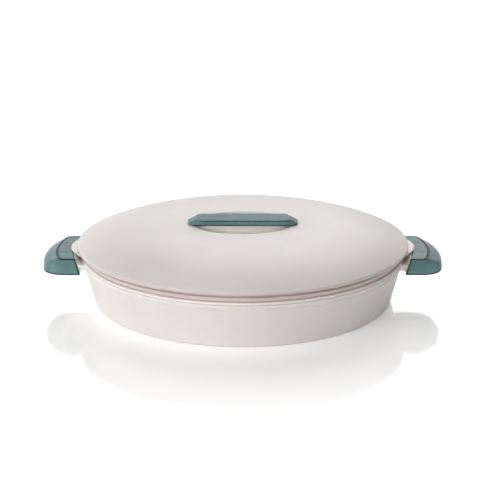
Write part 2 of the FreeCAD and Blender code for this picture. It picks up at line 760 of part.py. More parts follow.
ring_under = dim("lip_depth")
ring_over = ring_under + dim("ring_height")
wall_radius = ring_radius - dim("ring_recess")
seat_height = ring_under + dim("ring_seat")
edge_under = ring_under + dim("lid_edge_drop")
edge_over = edge_under + dim("lid_edge_height")
crown = edge_over + dim("dome_height")
knee = crown - dim("crown_drop")
lid_wall = dim("shell_wall")

# The dome is a flat crown arc and a tighter shoulder arc that meet in a common tangent at the knee.
crown_radius = (crown_span * crown_span + dim("crown_drop") * dim("crown_drop")) \
    / (dim("crown_drop") * 2)
knee_sine = crown_span / crown_radius
knee_cosine = (crown_radius - dim("crown_drop")) / crown_radius
shoulder_span = lid_radius - crown_span
shoulder_fall = dim("dome_height") - dim("crown_drop")
shoulder_radius = (shoulder_span * shoulder_span + shoulder_fall * shoulder_fall) \
    / ((shoulder_fall * knee_cosine - shoulder_span * knee_sine) * 2)
shoulder_x = crown_span - knee_sine * shoulder_radius
shoulder_z = knee - knee_cosine * shoulder_radius


def dome_at(radius, below):
    """Height of the lid's shoulder at a radius, moved down by below."""
    across = radius - shoulder_x
    return shoulder_z - below + root(shoulder_radius * shoulder_radius - across * across)


# ---------------------------------------------------------------- lid_outer_shell

def rim_circle(height):
    """Picks the outermost circle of the lid's edge at a height."""
    def wanted(edge):
        box = edge.BoundBox
        return box.XMax > lid_radius.value - LEVEL and box.ZLength < LEVEL \
            and abs(box.ZMin - height.value) < LEVEL
    return wanted


edge_inner = lid_radius - dim("lid_edge_width")
lid_skin = turned("lid_skin", [
    corner(edge_inner, edge_under),
    corner(lid_radius, edge_under),
    corner(lid_radius, edge_over, arc=shoulder_radius),
    corner(crown_span, knee, arc=crown_radius),
    corner(0, crown),
    corner(0, crown - lid_wall, arc=-crown_radius),
    corner(crown_span, knee - lid_wall, arc=-shoulder_radius),
    corner(edge_inner, dome_at(edge_inner, lid_wall)),
])
round_edges(lid_skin, "lid_edge_rolling", dim("lid_edge_round"), rim_circle(edge_over))
round_edges(lid_skin, "lid_edge_rounding", dim("lid_edge_under_round"), rim_circle(edge_under))
dome_blank = turned("dome_blank", [
    corner(0, ring_over),
    corner(edge_inner, ring_over),
    corner(edge_inner, dome_at(edge_inner, as_size(0)), arc=shoulder_radius),
    corner(crown_span, knee, arc=crown_radius),
    corner(0, crown),
])
seat_inner = wall_radius - dim("seat_width")
seat_rib = turned("seat_rib", [
    corner(seat_inner, seat_height),
    corner(wall_radius, seat_height),
    corner(wall_radius, dome_at(wall_radius, lid_wall / 2)),
    corner(seat_inner, dome_at(seat_inner, lid_wall / 2)),
])


def well(name, grow):
    """The curved hollow of the finger well, its faces moved out by grow."""
    deep = dim("well_depth") + dim("well_flare")
    flare = root(as_size(1) - (dim("well_flare") / deep) * (dim("well_flare") / deep))
    bowl = doc.addObject("Part::Ellipsoid", name)
    bowl.Label = name
    bowl.setExpression("Radius1", (deep + grow).text)
    bowl.setExpression("Radius2", (dim("well_half_length") / flare + grow).text)
    bowl.setExpression("Radius3", (dim("well_half_width") / flare + grow).text)
    bowl.setExpression("Placement.Base.z", (crown + dim("well_flare")).text)
    return bowl


bar_under = crown - dim("bar_bottom")
bar_widest_height = bar_under + dim("bar_widest")
bar_top = bar_under + dim("bar_height")
tongue_outer = bar_half_length - dim("bar_tuck") - dim("tongue_offset")
tongue_inner = tongue_outer - dim("tongue_thickness")
tongue_catch = bar_under - dim("bar_bottom") - lid_wall - dim("fit_gap")
tongue_tip = tongue_catch - dim("tongue_reach")


def tongue_slot(name):
    """The slot in the shell that a tongue of the bar drops through."""
    half_width = dim("tongue_half_width") + dim("fit_gap")
    return extruded(name, "XY_Plane", rectangle(
        tongue_inner - dim("fit_gap"), tongue_outer + dim("fit_gap"), -half_width, half_width),
        tongue_tip, bar_widest_height - tongue_tip)


right_slot = tongue_slot("right_slot")
left_slot = mirrored("left_slot", right_slot)
well_wall = common("well_wall", dome_blank, well("well_outside", lid_wall))
lid_blank = fuse("lid_blank", lid_skin, well_wall, seat_rib)
lid_cuts = fuse("lid_cuts", well("well_inside", as_size(0)), right_slot, left_slot)
lid_outer_shell = cut("lid_outer_shell", lid_blank, lid_cuts)

# ---------------------------------------------------------------- lid_inner_liner and lid_foam_plug

lip_outer = rim_inner_radius - dim("lip_clearance")
lip_inner = lip_outer - dim("liner_wall")
ceiling_over = crown - dim("well_depth") - lid_wall - dim("foam_under_well")
ceiling_under = ceiling_over - dim("liner_wall")
slope_start = ring_under + dim("edge_round")
slope_shift = dim("liner_wall") / 2
liner_turn = turned("liner_turn", [
    corner(hole_radius, ceiling_under),
    corner(ceiling_radius, ceiling_under, round_by=dim("ceiling_round")),
    corner(lip_inner, slope_start),
    corner(lip_inner, 0),
    corner(lip_outer, 0),
    corner(lip_outer, ring_under),
    corner(ring_radius, ring_under, round_by=dim("ring_round")),
    corner(ring_radius, ring_over, round_by=dim("ring_round")),
    corner(wall_radius, ring_over),
    corner(wall_radius, seat_height),
    corner(seat_inner, seat_height),
    corner(seat_inner, ring_over),
    corner(ceiling_radius + slope_shift, ceiling_over, round_by=dim("ceiling_round") + slope_shift),
    corner(hole_radius, ceiling_over),
])

# The thumb tabs stand out from the liner's wall, just above the handle caps.
tab_centre = tab_reach - dim("tab_radius")
blend_from_centre = lid_radius + dim("tab_blend")
blend_from_tab = dim("tab_radius") + dim("tab_blend")
blend_x = tab_centre / 2 \
    + (blend_from_centre * blend_from_centre - blend_from_tab * blend_from_tab) / (tab_centre * 2)
blend_y = root(blend_from_centre * blend_from_centre - blend_x * blend_x)
lid_share = lid_radius / blend_from_centre
tab_share = dim("tab_radius") / blend_from_tab
root_x = blend_x * lid_share
root_y = blend_y * lid_share
meet_x = tab_centre + (blend_x - tab_centre) * tab_share
meet_y = blend_y * tab_share
tab_tail = seat_inner - dim("tab_blend")
tab_plan = extruded("tab_plan", "XY_Plane", [
    corner(tab_tail, -root_y),
    corner(root_x, -root_y, arc=-dim("tab_blend")),
    corner(meet_x, -meet_y, arc=dim("tab_radius")),
    corner(meet_x, meet_y, arc=-dim("tab_blend")),
    corner(root_x, root_y),
    corner(tab_tail, root_y),
], 0, crown)
tab_under = dim("cap_rise") + dim("tab_clearance") + dim("lip_depth") - dim("seat_gap")
tab_over = tab_under + dim("tab_thickness")
tab_root = wall_radius - dim("seat_width") / 2
tab_ring = turned("tab_ring", [
    corner(tab_root, tab_under),
    corner(tab_reach + dim("tab_thickness"), tab_under),
    corner(tab_reach + dim("tab_thickness"), tab_over),
    corner(tab_root, tab_over),
])
right_tab = common("right_tab", tab_plan, tab_ring)
left_tab = mirrored("left_tab", right_tab)
lid_inner_liner = fuse("lid_inner_liner", liner_turn, right_tab, left_tab)

lid_foam_plug = turned("lid_foam_plug", [
    corner(0, ceiling_under - dim("plug_head_height")),
    corner(dim("plug_head_radius"), ceiling_under - dim("plug_head_height")),
    corner(dim("plug_head_radius"), ceiling_under),
    corner(dim("plug_radius"), ceiling_under),
    corner(dim("plug_radius"), ceiling_over),
    corner(0, ceiling_over),
])

# ---------------------------------------------------------------- lid_foam

foam_edge = seat_inner - foam_gap
foam_skin_gap = lid_wall + foam_gap
foam_blank = turned("foam_blank", [
    corner(0, ceiling_over),
    corner(ceiling_radius + slope_shift, ceiling_over, round_by=dim("ceiling_round") + slope_shift),
    corner(foam_edge, ring_over + foam_gap),
    corner(foam_edge, dome_at(foam_edge, foam_skin_gap), arc=shoulder_radius),
    corner(crown_span, knee - foam_skin_gap, arc=crown_radius),
    corner(0, crown - foam_skin_gap),
])


def tongue_pocket(name):
    """Room in the foam for the hook of a tongue."""
    half_width = dim("tongue_half_width") + dim("pocket_room")
    outer = tongue_outer + dim("tongue_hook") + dim("pocket_room")
    return extruded(name, "XY_Plane", rectangle(
        tongue_inner - dim("pocket_room"), outer, -half_width, half_width),
        tongue_tip - dim("pocket_room"), crown - tongue_tip)


right_pocket = tongue_pocket("right_pocket")
left_pocket = mirrored("left_pocket", right_pocket)
foam_cuts = fuse("foam_cuts", well("well_foam_side", foam_skin_gap), right_pocket, left_pocket)
lid_foam = cut("lid_foam", foam_blank, foam_cuts)

# ---------------------------------------------------------------- lid_handle_bar


def bar_plan(half_length, half_width, round_by):
    return [
        corner(-half_length, -half_width, round_by=round_by),
        corner(half_length, -half_width, round_by=round_by),
        corner(half_length, half_width, round_by=round_by),
        corner(-half_length, half_width, round_by=round_by),
    ]


bar_form = lofted("bar_form", [
    (bar_under, bar_plan(bar_half_length - dim("bar_tuck"), dim("bar_half_width") - dim("bar_tuck"),
                         dim("bar_end_round") - dim("bar_tuck"))),
    (bar_widest_height, bar_plan(bar_half_length, dim("bar_half_width"), dim("bar_end_round"))),
    (bar_top, bar_plan(bar_top_half_length, bar_top_half_width, dim("bar_top_round"))),
])
right_tongue = extruded("right_tongue", "XZ_Plane", [
    corner(tongue_inner, tongue_tip),
    corner(tongue_outer, tongue_tip),
    corner(tongue_outer + dim("tongue_hook"), tongue_catch - dim("tongue_hook")),
    corner(tongue_outer + dim("tongue_hook"), tongue_catch),
    corner(tongue_outer, tongue_catch),
    corner(tongue_outer, bar_widest_height),
    corner(tongue_inner, bar_widest_height),
], -dim("tongue_half_width"), dim("tongue_half_width") * 2)
left_tongue = mirrored("left_tongue", right_tongue)
lid_handle_bar = fuse("lid_handle_bar", bar_form, right_tongue, left_tongue)

# ---------------------------------------------------------------- the sub-parts in their places

BASE = [base_outer_shell, base_inner_liner, base_foam, base_foam_plug, left_handle_cap, right_handle_cap]
DISH = [dish]
LID = [lid_outer_shell, lid_inner_liner, lid_foam, lid_foam_plug, lid_handle_bar]

dish_place = liner_floor_top + dim("seat_gap")
lid_place = rim_top + dim("seat_gap") - dim("lip_depth")
for piece in DISH:
    piece.setExpression("Placement.Base.z", dish_place.text)
for piece in LID:
    piece.setExpression("Placement.Base.z", lid_place.text)

doc.recompute()
for obj in doc.Objects:
    if "Invalid" in obj.State or "Error" in obj.State:
        raise RuntimeError(f"{obj.Label} failed: {obj.State}")
for piece in BASE + DISH + LID:
    shape = piece.Shape
    if shape.isNull() or not shape.isValid() or len(shape.Solids) != 1:
        raise RuntimeError(f"{piece.Label} is not one valid solid")

os.makedirs("parts", exist_ok=True)
for piece in BASE + DISH + LID:
    piece.Shape.exportStep(f"parts/{piece.Label}.step")
    box = piece.Shape.BoundBox
    print(f"{piece.Label}: {piece.Shape.Volume / 1000:.1f} cm3, "
          f"z {box.ZMin:.2f} to {box.ZMax:.2f}, x {box.XMin:.1f} to {box.XMax:.1f}")
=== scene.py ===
import math

import bmesh
import bpy
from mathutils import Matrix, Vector


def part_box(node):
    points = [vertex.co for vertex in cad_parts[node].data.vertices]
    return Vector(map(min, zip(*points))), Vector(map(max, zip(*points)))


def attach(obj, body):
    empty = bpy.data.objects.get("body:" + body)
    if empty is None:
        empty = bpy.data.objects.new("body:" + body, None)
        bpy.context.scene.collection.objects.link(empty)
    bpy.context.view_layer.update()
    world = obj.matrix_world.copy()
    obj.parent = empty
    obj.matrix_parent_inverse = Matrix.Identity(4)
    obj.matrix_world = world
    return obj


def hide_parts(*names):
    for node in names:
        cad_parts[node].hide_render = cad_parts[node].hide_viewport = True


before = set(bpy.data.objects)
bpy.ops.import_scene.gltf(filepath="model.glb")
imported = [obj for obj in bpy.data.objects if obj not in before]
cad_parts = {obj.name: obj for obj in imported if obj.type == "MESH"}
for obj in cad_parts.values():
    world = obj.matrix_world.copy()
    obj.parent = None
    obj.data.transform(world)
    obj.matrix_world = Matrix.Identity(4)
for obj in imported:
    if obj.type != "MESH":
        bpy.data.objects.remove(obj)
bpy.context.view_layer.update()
scene = bpy.context.scene
scene.view_settings.view_transform = "Standard"
MM = 0.001

# ---------------------------------------------------------------- camera

IMAGE_WIDTH = 480                   # pixels
FOCAL_PIXELS = 1388
SENSOR = 36.0                       # mm
CAMERA_DISTANCE = 1.305             # metres, to the aim
CAMERA_ELEVATION = math.radians(17.32)
AIM = Vector((0, 0, 0.044))
AIM_RIGHT, AIM_DOWN = 2.8, 10.0     # pixels, from the middle of the picture to the aim
VIEW_END = 50                       # metres

lens = bpy.data.cameras.new("camera")
lens.sensor_width = SENSOR
lens.lens = FOCAL_PIXELS * SENSOR / IMAGE_WIDTH
lens.shift_x = -AIM_RIGHT / IMAGE_WIDTH
lens.shift_y = AIM_DOWN / IMAGE_WIDTH
lens.clip_end = VIEW_END
camera = bpy.data.objects.new("camera", lens)
away = Vector((0, -math.cos(CAMERA_ELEVATION), math.sin(CAMERA_ELEVATION)))
camera.location = AIM + away * CAMERA_DISTANCE
camera.rotation_euler = (math.pi / 2 - CAMERA_ELEVATION, 0, 0)
scene.collection.objects.link(camera)
scene.camera = camera


# ---------------------------------------------------------------- node helpers

class Tree:
    """Short calls for building a node tree."""

    def __init__(self, owner):
        owner.use_nodes = True
        self.tree = owner.node_tree
        self.tree.nodes.clear()

    def add(self, kind, **settings):
        node = self.tree.nodes.new("ShaderNode" + kind)
        for name, value in settings.items():
            setattr(node, name, value)
        return node

    def link(self, source, target):
        self.tree.links.new(source, target)

    def put(self, socket, value):
        """Link a socket to another one, or set its number or colour."""
        if isinstance(value, bpy.types.NodeSocket):
            self.link(value, socket)
        else:
            socket.default_value = value

    def math(self, operation, *values):
        node = self.add("Math", operation=operation)
        for socket, value in zip(node.inputs, values):
            self.put(socket, value)
        return node.outputs[0]

    def ramp(self, value, low, high, to_low=0.0, to_high=1.0, smooth=True):
        """Take low to to_low and high to to_high, and hold what is beyond."""
        node = self.add("MapRange", interpolation_type="SMOOTHSTEP" if smooth else "LINEAR")
        self.link(value, node.inputs["Value"])
        ends = {"From Min": low, "From Max": high, "To Min": to_low, "To Max": to_high}
        for name, number in ends.items():
            node.inputs[name].default_value = number
        return node.outputs["Result"]

    def mix(self, factor, one, two):
        node = self.add("Mix", data_type="RGBA")
        self.put(node.inputs["Factor"], factor)
        self.put(node.inputs["A"], one)
        self.put(node.inputs["B"], two)
        return node.outputs["Result"]

    def noise(self, place, scale, detail=3.0, roughness=0.55):
        node = self.add("TexNoise")
        self.link(place, node.inputs["Vector"])
        node.inputs["Scale"].default_value = scale
        node.inputs["Detail"].default_value = detail
        node.inputs["Roughness"].default_value = roughness
        return node.outputs["Fac"]

    def axes(self, vector):
        """The X, Y and Z of a vector."""
        apart = self.add("SeparateXYZ")
        self.link(vector, apart.inputs[0])
        return apart.outputs

    def rays(self, *kinds):
        """1 for rays of these kinds and 0 for the others."""
        path = self.add("LightPath")
        found = path.outputs[kinds[0]]
        for kind in kinds[1:]:
            found = self.math("MAXIMUM", found, path.outputs[kind])
        return found


def rgb(r, g, b):
    """A colour from sRGB values of 0 to 255."""
    def linear(c):
        c /= 255
        return c / 12.92 if c <= 0.04045 else ((c + 0.055) / 1.055) ** 2.4
    return (linear(r), linear(g), linear(b), 1.0)


# ---------------------------------------------------------------- light

LIGHT = (1.0, 0.995, 0.99, 1.0)
WHITE = (1.0, 1.0, 1.0, 1.0)
# Level bands of light: strength, the side it comes from, the cosines at which it starts and is
# full across that side, and the heights, 0 level and 1 overhead, at which it starts, is full,
# fades and ends. The three that are full from 0.25 up reach under the pieces when they are lifted.
BANDS = [
    (3.55, (-0.12, -0.99), 0.20, 0.95, (0.16, 0.25, 0.37, 0.46)),
    (3.30, (-1.00, 0.00), 0.20, 0.95, (0.16, 0.25, 0.37, 0.46)),
    (0.45, (-0.80, -0.60), 0.10, 1.0, (-0.1, 0.0, 0.15, 0.90)),
    (1.30, (0.00, 1.00), 0.30, 0.9, (-0.1, 0.0, 0.12, 0.30)),
    (2.10, (0.00, 1.00), 0.60, 0.95, (0.18, 0.25, 0.33, 0.40)),
]
# Round lights: strength, where they are, and the cosines at which they start and are full.
PANELS = [
    (2.80, (0.10, 0.83, 0.56), 0.93, 0.995),
    (1.45, (0.10, 0.62, 0.78), 0.92, 0.99),
    (0.15, (0.50, 0.72, 0.48), 0.80, 0.98),
    (0.06, (0.00, 0.00, 1.00), 0.50, 1.0),
    (1.20, (-0.38, -0.58, 0.72), 0.85, 0.98),
]


def studio():
    """A soft studio round the object, with low light from the front, the left and the back,
    and round lights high behind it and at the front left. The camera sees plain white."""
    world = bpy.data.worlds.new("studio")
    scene.world = world
    t = Tree(world)
    direction = t.add("TexCoord").outputs["Generated"]
    height = t.math("ABSOLUTE", t.axes(direction)["Z"])

    def towards(aim):
        dot = t.add("VectorMath", operation="DOT_PRODUCT")
        t.link(direction, dot.inputs[0])
        dot.inputs[1].default_value = Vector(aim).normalized()
        return dot.outputs["Value"]

    total = None
    for strength, aim, edge, core in PANELS:
        light = t.ramp(towards(aim), edge, core, 0.0, strength)
        total = light if total is None else t.math("ADD", total, light)
    for strength, side, edge, core, (start, low, high, end) in BANDS:
        across = t.ramp(towards((*side, 0.0)), edge, core, 0.0, strength)
        rise, fall = t.ramp(height, start, low), t.ramp(height, high, end, 1.0, 0.0)
        light = t.math("MULTIPLY", across, t.math("MULTIPLY", rise, fall))
        total = t.math("ADD", total, light)
    light = t.add("Background")
    light.inputs["Color"].default_value = LIGHT
    t.link(total, light.inputs["Strength"])
    white = t.add("Background")
    white.inputs["Color"].default_value = WHITE
    choose = t.add("MixShader")
    t.link(t.rays("Is Camera Ray", "Is Transmission Ray"), choose.inputs[0])
    t.link(light.outputs[0], choose.inputs[1])
    t.link(white.outputs[0], choose.inputs[2])
    t.link(choose.outputs[0], t.add("OutputWorld").inputs["Surface"])


studio()


# ---------------------------------------------------------------- kinds of surface

CLOUD_RANGE = (0.35, 0.65)          # noise between which one tone becomes the other
ROUGH_RANGE, ROUGH_DETAIL = (0.3, 0.7), 4.0     # the same for a roughness
FINE, BROAD = (2.0, 0.6), (2.0, 0.5)    # detail and roughness of the noise in bumps
FINE_SHARE = 0.4                    # height of the fine grain against the broad one
BROAD_RATIO = 40                    # size of the broad grain against the fine one
WAVE_SCALE, WAVE_DEPTH, WAVE_STRENGTH = 28, 0.0008, 0.10
CELL_SCALE, CELL_DEPTH, CELL_STRENGTH = 700, 0.0006, 0.6


def surface(name, colour, roughness, bump, **sockets):
    """A Principled material. colour, roughness and bump are functions of the tree and the
    place, and bump gives a height, its distance in metres and its strength."""
    material = bpy.data.materials.new(name)
    t = Tree(material)
    place = t.add("TexCoord").outputs["Object"]
    shader = t.add("BsdfPrincipled")
    t.link(colour(t, place), shader.inputs["Base Color"])
    t.link(roughness(t, place), shader.inputs["Roughness"])
    height, distance, strength = bump(t, place)
    relief = t.add("Bump")
    relief.inputs["Distance"].default_value = distance
    relief.inputs["Strength"].default_value = strength
    t.link(height, relief.inputs["Height"])
    t.link(relief.outputs["Normal"], shader.inputs["Normal"])
    for socket, value in sockets.items():
        shader.inputs[socket.replace("_", " ")].default_value = value
    t.link(shader.outputs[0], t.add("OutputMaterial").inputs["Surface"])
    return material


def cloudy(one, two, scale):
    """Two close tones that drift into each other."""
    return lambda t, place: t.mix(
        t.ramp(t.noise(place, scale), *CLOUD_RANGE), rgb(*one), rgb(*two))


def uneven(low, high, scale):
    """A roughness that wanders between low and high."""
    return lambda t, place: t.ramp(
        t.noise(place, scale, ROUGH_DETAIL), *ROUGH_RANGE, low, high, smooth=False)


def grained(scale, distance, strength):
    """The fine texture that a mould leaves on plastic."""
    def bump(t, place):
        fine = t.noise(place, scale, *FINE)
        broad = t.noise(place, scale / BROAD_RATIO, *BROAD)
        height = t.math("ADD", t.math("MULTIPLY", fine, FINE_SHARE), broad)
        return height, distance, strength
    return bump


def glaze_waves(t, place):
    return t.noise(place, WAVE_SCALE, *BROAD), WAVE_DEPTH, WAVE_STRENGTH


def foam_cells(t, place):
    cells = t.add("TexVoronoi")
    t.link(place, cells.inputs["Vector"])
    cells.inputs["Scale"].default_value = CELL_SCALE
    return cells.outputs["Distance"], CELL_DEPTH, CELL_STRENGTH


# ---------------------------------------------------------------- materials of the object

SOFT = {"Subsurface_Weight": 0.06, "Subsurface_Scale": 0.006}
CREAM_COAT = {"Coat_Weight": 0.12, "Coat_Roughness": 0.25}
RING_COAT = {"Coat_Weight": 0.08, "Coat_Roughness": 0.3}
GLAZE_COAT = {"Coat_Weight": 0.5, "Coat_Roughness": 0.06}
CLEAR = {"Transmission_Weight": 0.30, "IOR": 1.30, "Specular_IOR_Level": 0.02}
LINER_GRAIN = grained(1500, 0.0002, 0.12)
LIGHT_GRAIN = grained(1800, 0.0002, 0.10)
TEAL_GRAIN = grained(1200, 0.0001, 0.02)
CREAM_ROUGHNESS = uneven(0.30, 0.40, 60)
RING_ROUGHNESS = uneven(0.32, 0.42, 50)
GLAZE_ROUGHNESS = uneven(0.20, 0.27, 30)
TEAL_ROUGHNESS = uneven(0.18, 0.24, 80)

CREAM = surface(
    "cream_plastic", cloudy((231, 226, 222), (227, 221, 218), 9),
    CREAM_ROUGHNESS, grained(1800, 0.0002, 0.12), **CREAM_COAT, **SOFT)
# Cream painted lighter than the shell: painted light on the ears and on the rim of the base.
CREAM_PAINTED_LIGHT = surface(
    "cream_painted_light", cloudy((241, 234, 227), (237, 229, 222), 9),
    CREAM_ROUGHNESS, LIGHT_GRAIN, **CREAM_COAT, **SOFT)
# Cream painted lighter still: painted light inside the base, under the lid and on the foam plugs.
LINER_PAINTED_LIGHT = surface(
    "liner_plastic", cloudy((249, 240, 233), (245, 235, 227), 8),
    uneven(0.28, 0.38, 50), LINER_GRAIN, Coat_Weight=0.12, Coat_Roughness=0.22)
# Cream painted darker and pinker: painted shade on the lid's ring and on the rolled edge of its
# shell.
RING_PAINTED_SHADE = surface(
    "ring_painted_shade", cloudy((211, 199, 195), (206, 193, 189), 9),
    RING_ROUGHNESS, LINER_GRAIN, **RING_COAT)
TAB = surface(
    "tab_plastic", cloudy((236, 225, 217), (231, 219, 211), 9),
    RING_ROUGHNESS, LINER_GRAIN, **RING_COAT)
# Darker still: painted shade in the gap under the edge of the lid's shell.
GAP_PAINTED_SHADE = surface(
    "gap_painted_shade", cloudy((196, 181, 175), (188, 172, 166), 9),
    uneven(0.40, 0.50, 50), LINER_GRAIN)
GLAZE = surface(
    "white_glaze", cloudy((227, 229, 231), (223, 226, 228), 14),
    GLAZE_ROUGHNESS, glaze_waves, **GLAZE_COAT)
# Glaze painted lighter: painted light inside the dish.
GLAZE_PAINTED_LIGHT = surface(
    "white_glaze_painted_light", cloudy((252, 253, 253), (249, 250, 251), 14),
    GLAZE_ROUGHNESS, glaze_waves, **GLAZE_COAT)
# Glaze painted darker in the grooves: painted shade, and in part glaze that pools there.
GLAZE_POOL_AND_SHADE = surface(
    "white_glaze_pool_and_shade", cloudy((206, 207, 206), (201, 202, 201), 14),
    uneven(0.24, 0.31, 30), glaze_waves, Coat_Weight=0.2, Coat_Roughness=0.1)
# Teal painted darker: painted shade on the top of the bar.
TEAL_TOP_PAINTED_SHADE = surface(
    "teal_top_painted_shade", cloudy((84, 132, 135), (76, 124, 127), 55),
    TEAL_ROUGHNESS, TEAL_GRAIN, **CLEAR)
# Dark teal: painted shade on the edges of the hoods and the bar, where clear plastic shows dark
# lines, and the colour of the clips and the tongues.
TEAL_EDGE_SHADE_AND_CLIPS = surface(
    "teal_edge_shade_and_clips", cloudy((26, 56, 59), (20, 46, 49), 90),
    uneven(0.30, 0.40, 80), grained(1200, 0.0001, 0.04),
    Transmission_Weight=0.15, IOR=1.46, Specular_IOR_Level=0.05)
FOAM = surface(
    "foam", cloudy((240, 231, 206), (228, 217, 188), 120), uneven(0.85, 0.95, 200), foam_cells)

LID_TONE = cloudy((228, 222, 217), (224, 217, 213), 9)
# Warmer, lighter cream: painted light down in the finger well.
WELL_PAINTED_LIGHT = rgb(255, 241, 228)
WELL_HALF_AXES = (0.0472, 0.0382)   # metres
WELL_START, WELL_FULL = 1.02, 0.55  # where the well's painted light starts and is full, 1 at the well's edge


def well_painted_light(t, place):
    """Cream painted warmer and lighter down in the finger well: painted light."""
    x, y, _ = t.axes(place)
    along = t.math("POWER", t.math("DIVIDE", x, WELL_HALF_AXES[0]), 2.0)
    across = t.math("POWER", t.math("DIVIDE", y, WELL_HALF_AXES[1]), 2.0)
    inside = t.ramp(t.math("ADD", along, across), WELL_START, WELL_FULL)
    return t.mix(inside, LID_TONE(t, place), WELL_PAINTED_LIGHT)


LID_CREAM = surface(
    "lid_plastic", well_painted_light, uneven(0.32, 0.42, 60), LIGHT_GRAIN,
    Specular_IOR_Level=0.25, **SOFT)

TEAL_TONE = cloudy((124, 158, 160), (113, 147, 149), 55)
MARK_TONE, MARK_STRENGTH = rgb(58, 92, 95), 0.5
MARK_PLACE, MARK_HALF = 0.0144, 0.0012          # metres from the middle of a cap
MARK_START, MARK_END = 0.1620, 0.1685           # metres from the middle of the casserole


def clips_showing(t, place):
    """Teal with the roots of the clips showing through it as short dark marks."""
    x, y, _ = t.axes(place)
    reach = t.math("ABSOLUTE", x)
    offset = t.math("ABSOLUTE", t.math("SUBTRACT", t.math("ABSOLUTE", y), MARK_PLACE))
    along = t.math("MULTIPLY", t.math("GREATER_THAN", reach, MARK_START),
                   t.math("LESS_THAN", reach, MARK_END))
    mark = t.math("MULTIPLY", t.math("LESS_THAN", offset, MARK_HALF), along)
    return t.mix(t.math("MULTIPLY", mark, MARK_STRENGTH), TEAL_TONE(t, place), MARK_TONE)


TEAL = surface("teal_plastic", clips_showing, TEAL_ROUGHNESS, TEAL_GRAIN, **CLEAR)


# ---------------------------------------------------------------- floor

FLOOR_SIZE = 14                     # metres
FLOOR_TONES = rgb(254, 254, 254), rgb(252, 252, 252)
FLOOR_CLOUDS, FLOOR_MARKS = 3, 12               # noise scales of the tone and the roughness
FLOOR_ROUGHNESS = (0.09, 0.12)
# What the camera sees of the floor is lifted towards white, less near the object, and the
# floor's gloss fades with the distance. The starts and the ends are in metres.
LIFT_START, LIFT_END = 0.16, 0.45
FLOOR_LIFT, FAR_LIFT = 0.21, 0.60
GLOSS_START, GLOSS_END = 0.14, 0.30
FLOOR_GLOSS = 0.55


def floor_material():
    """A white floor that is glossy near the object."""
    material = bpy.data.materials.new("floor")
    t = Tree(material)
    place = t.add("TexCoord").outputs["Object"]
    shader = t.add("BsdfPrincipled")
    t.link(t.mix(t.noise(place, FLOOR_CLOUDS), *FLOOR_TONES), shader.inputs["Base Color"])
    marks = t.ramp(t.noise(place, FLOOR_MARKS), *ROUGH_RANGE, *FLOOR_ROUGHNESS)
    t.link(marks, shader.inputs["Roughness"])
    measure = t.add("VectorMath", operation="LENGTH")
    t.link(place, measure.inputs[0])
    distance = measure.outputs["Value"]
    gloss = t.ramp(distance, GLOSS_START, GLOSS_END, FLOOR_GLOSS, 0.0)
    t.link(gloss, shader.inputs["Specular IOR Level"])
    seen = t.rays("Is Camera Ray", "Is Glossy Ray", "Is Transmission Ray")
    white = t.ramp(distance, LIFT_START, LIFT_END, FLOOR_LIFT, FAR_LIFT)
    lift = t.add("Emission")
    t.link(t.math("MULTIPLY", seen, white), lift.inputs["Strength"])
    both = t.add("AddShader")
    t.link(shader.outputs[0], both.inputs[0])
    t.link(lift.outputs[0], both.inputs[1])
    t.link(both.outputs[0], t.add("OutputMaterial").inputs["Surface"])
    return material


bpy.ops.mesh.primitive_plane_add(size=FLOOR_SIZE)
floor = bpy.context.object
floor.name = "floor"
floor.data.materials.append(floor_material())


# ---------------------------------------------------------------- mesh helpers, in millimetres

SEGMENTS = 256
ANGLES = [math.tau * k / SEGMENTS for k in range(SEGMENTS)]
SHARP = math.radians(42)
SAME_POINT, NO_LENGTH = 1e-6, 1e-7              # metres


def between(one, two, share):
    return one + (two - one) * share


def spaced(start, end, steps):
    """Numbers from start to end in even steps, with both."""
    return [between(start, end, k / steps) for k in range(steps + 1)]


def soft_min(one, two, blend):
    """The lower of two heights, rounded where they cross."""
    share = max(0.0, min(1.0, 0.5 + 0.5 * (two - one) / blend))
    return between(two, one, share) - blend * share * (1 - share)


def off_axis(point):
    """Distance from the casserole's axis."""
    return math.hypot(point.x, point.y)


def arc(centre, radius, start, end, steps):
    return [Vector((centre[0] + radius * math.cos(a), centre[1] + radius * math.sin(a)))
            for a in spaced(start, end, steps)]


def rounded(corners, steps=6):
    """A line through (across, up, radius) corners, each rounded by its radius."""
    points = []
    for i, (across, up, radius) in enumerate(corners):
        at = Vector((across, up))
        if not radius:
            points.append(at)
            continue
        one = (Vector(corners[i - 1][:2]) - at).normalized()
        two = (Vector(corners[(i + 1) % len(corners)][:2]) - at).normalized()
        half = one.angle(two) / 2
        centre = at + (one + two).normalized() * (radius / math.sin(half))
        first = at + one * (radius / math.tan(half)) - centre
        last = at + two * (radius / math.tan(half)) - centre
        start = math.atan2(first.y, first.x)
        sweep = math.atan2(first.x * last.y - first.y * last.x, first.dot(last))
        for k in range(steps + 1):
            angle = start + sweep * k / steps
            points.append(centre + Vector((math.cos(angle), math.sin(angle))) * radius)
    return points


def turn(line):
    """Rings round Z, one through each point of a line."""
    return [[Vector((p[0] * math.cos(a), p[0] * math.sin(a), p[1])) for a in ANGLES]
            for p in line]


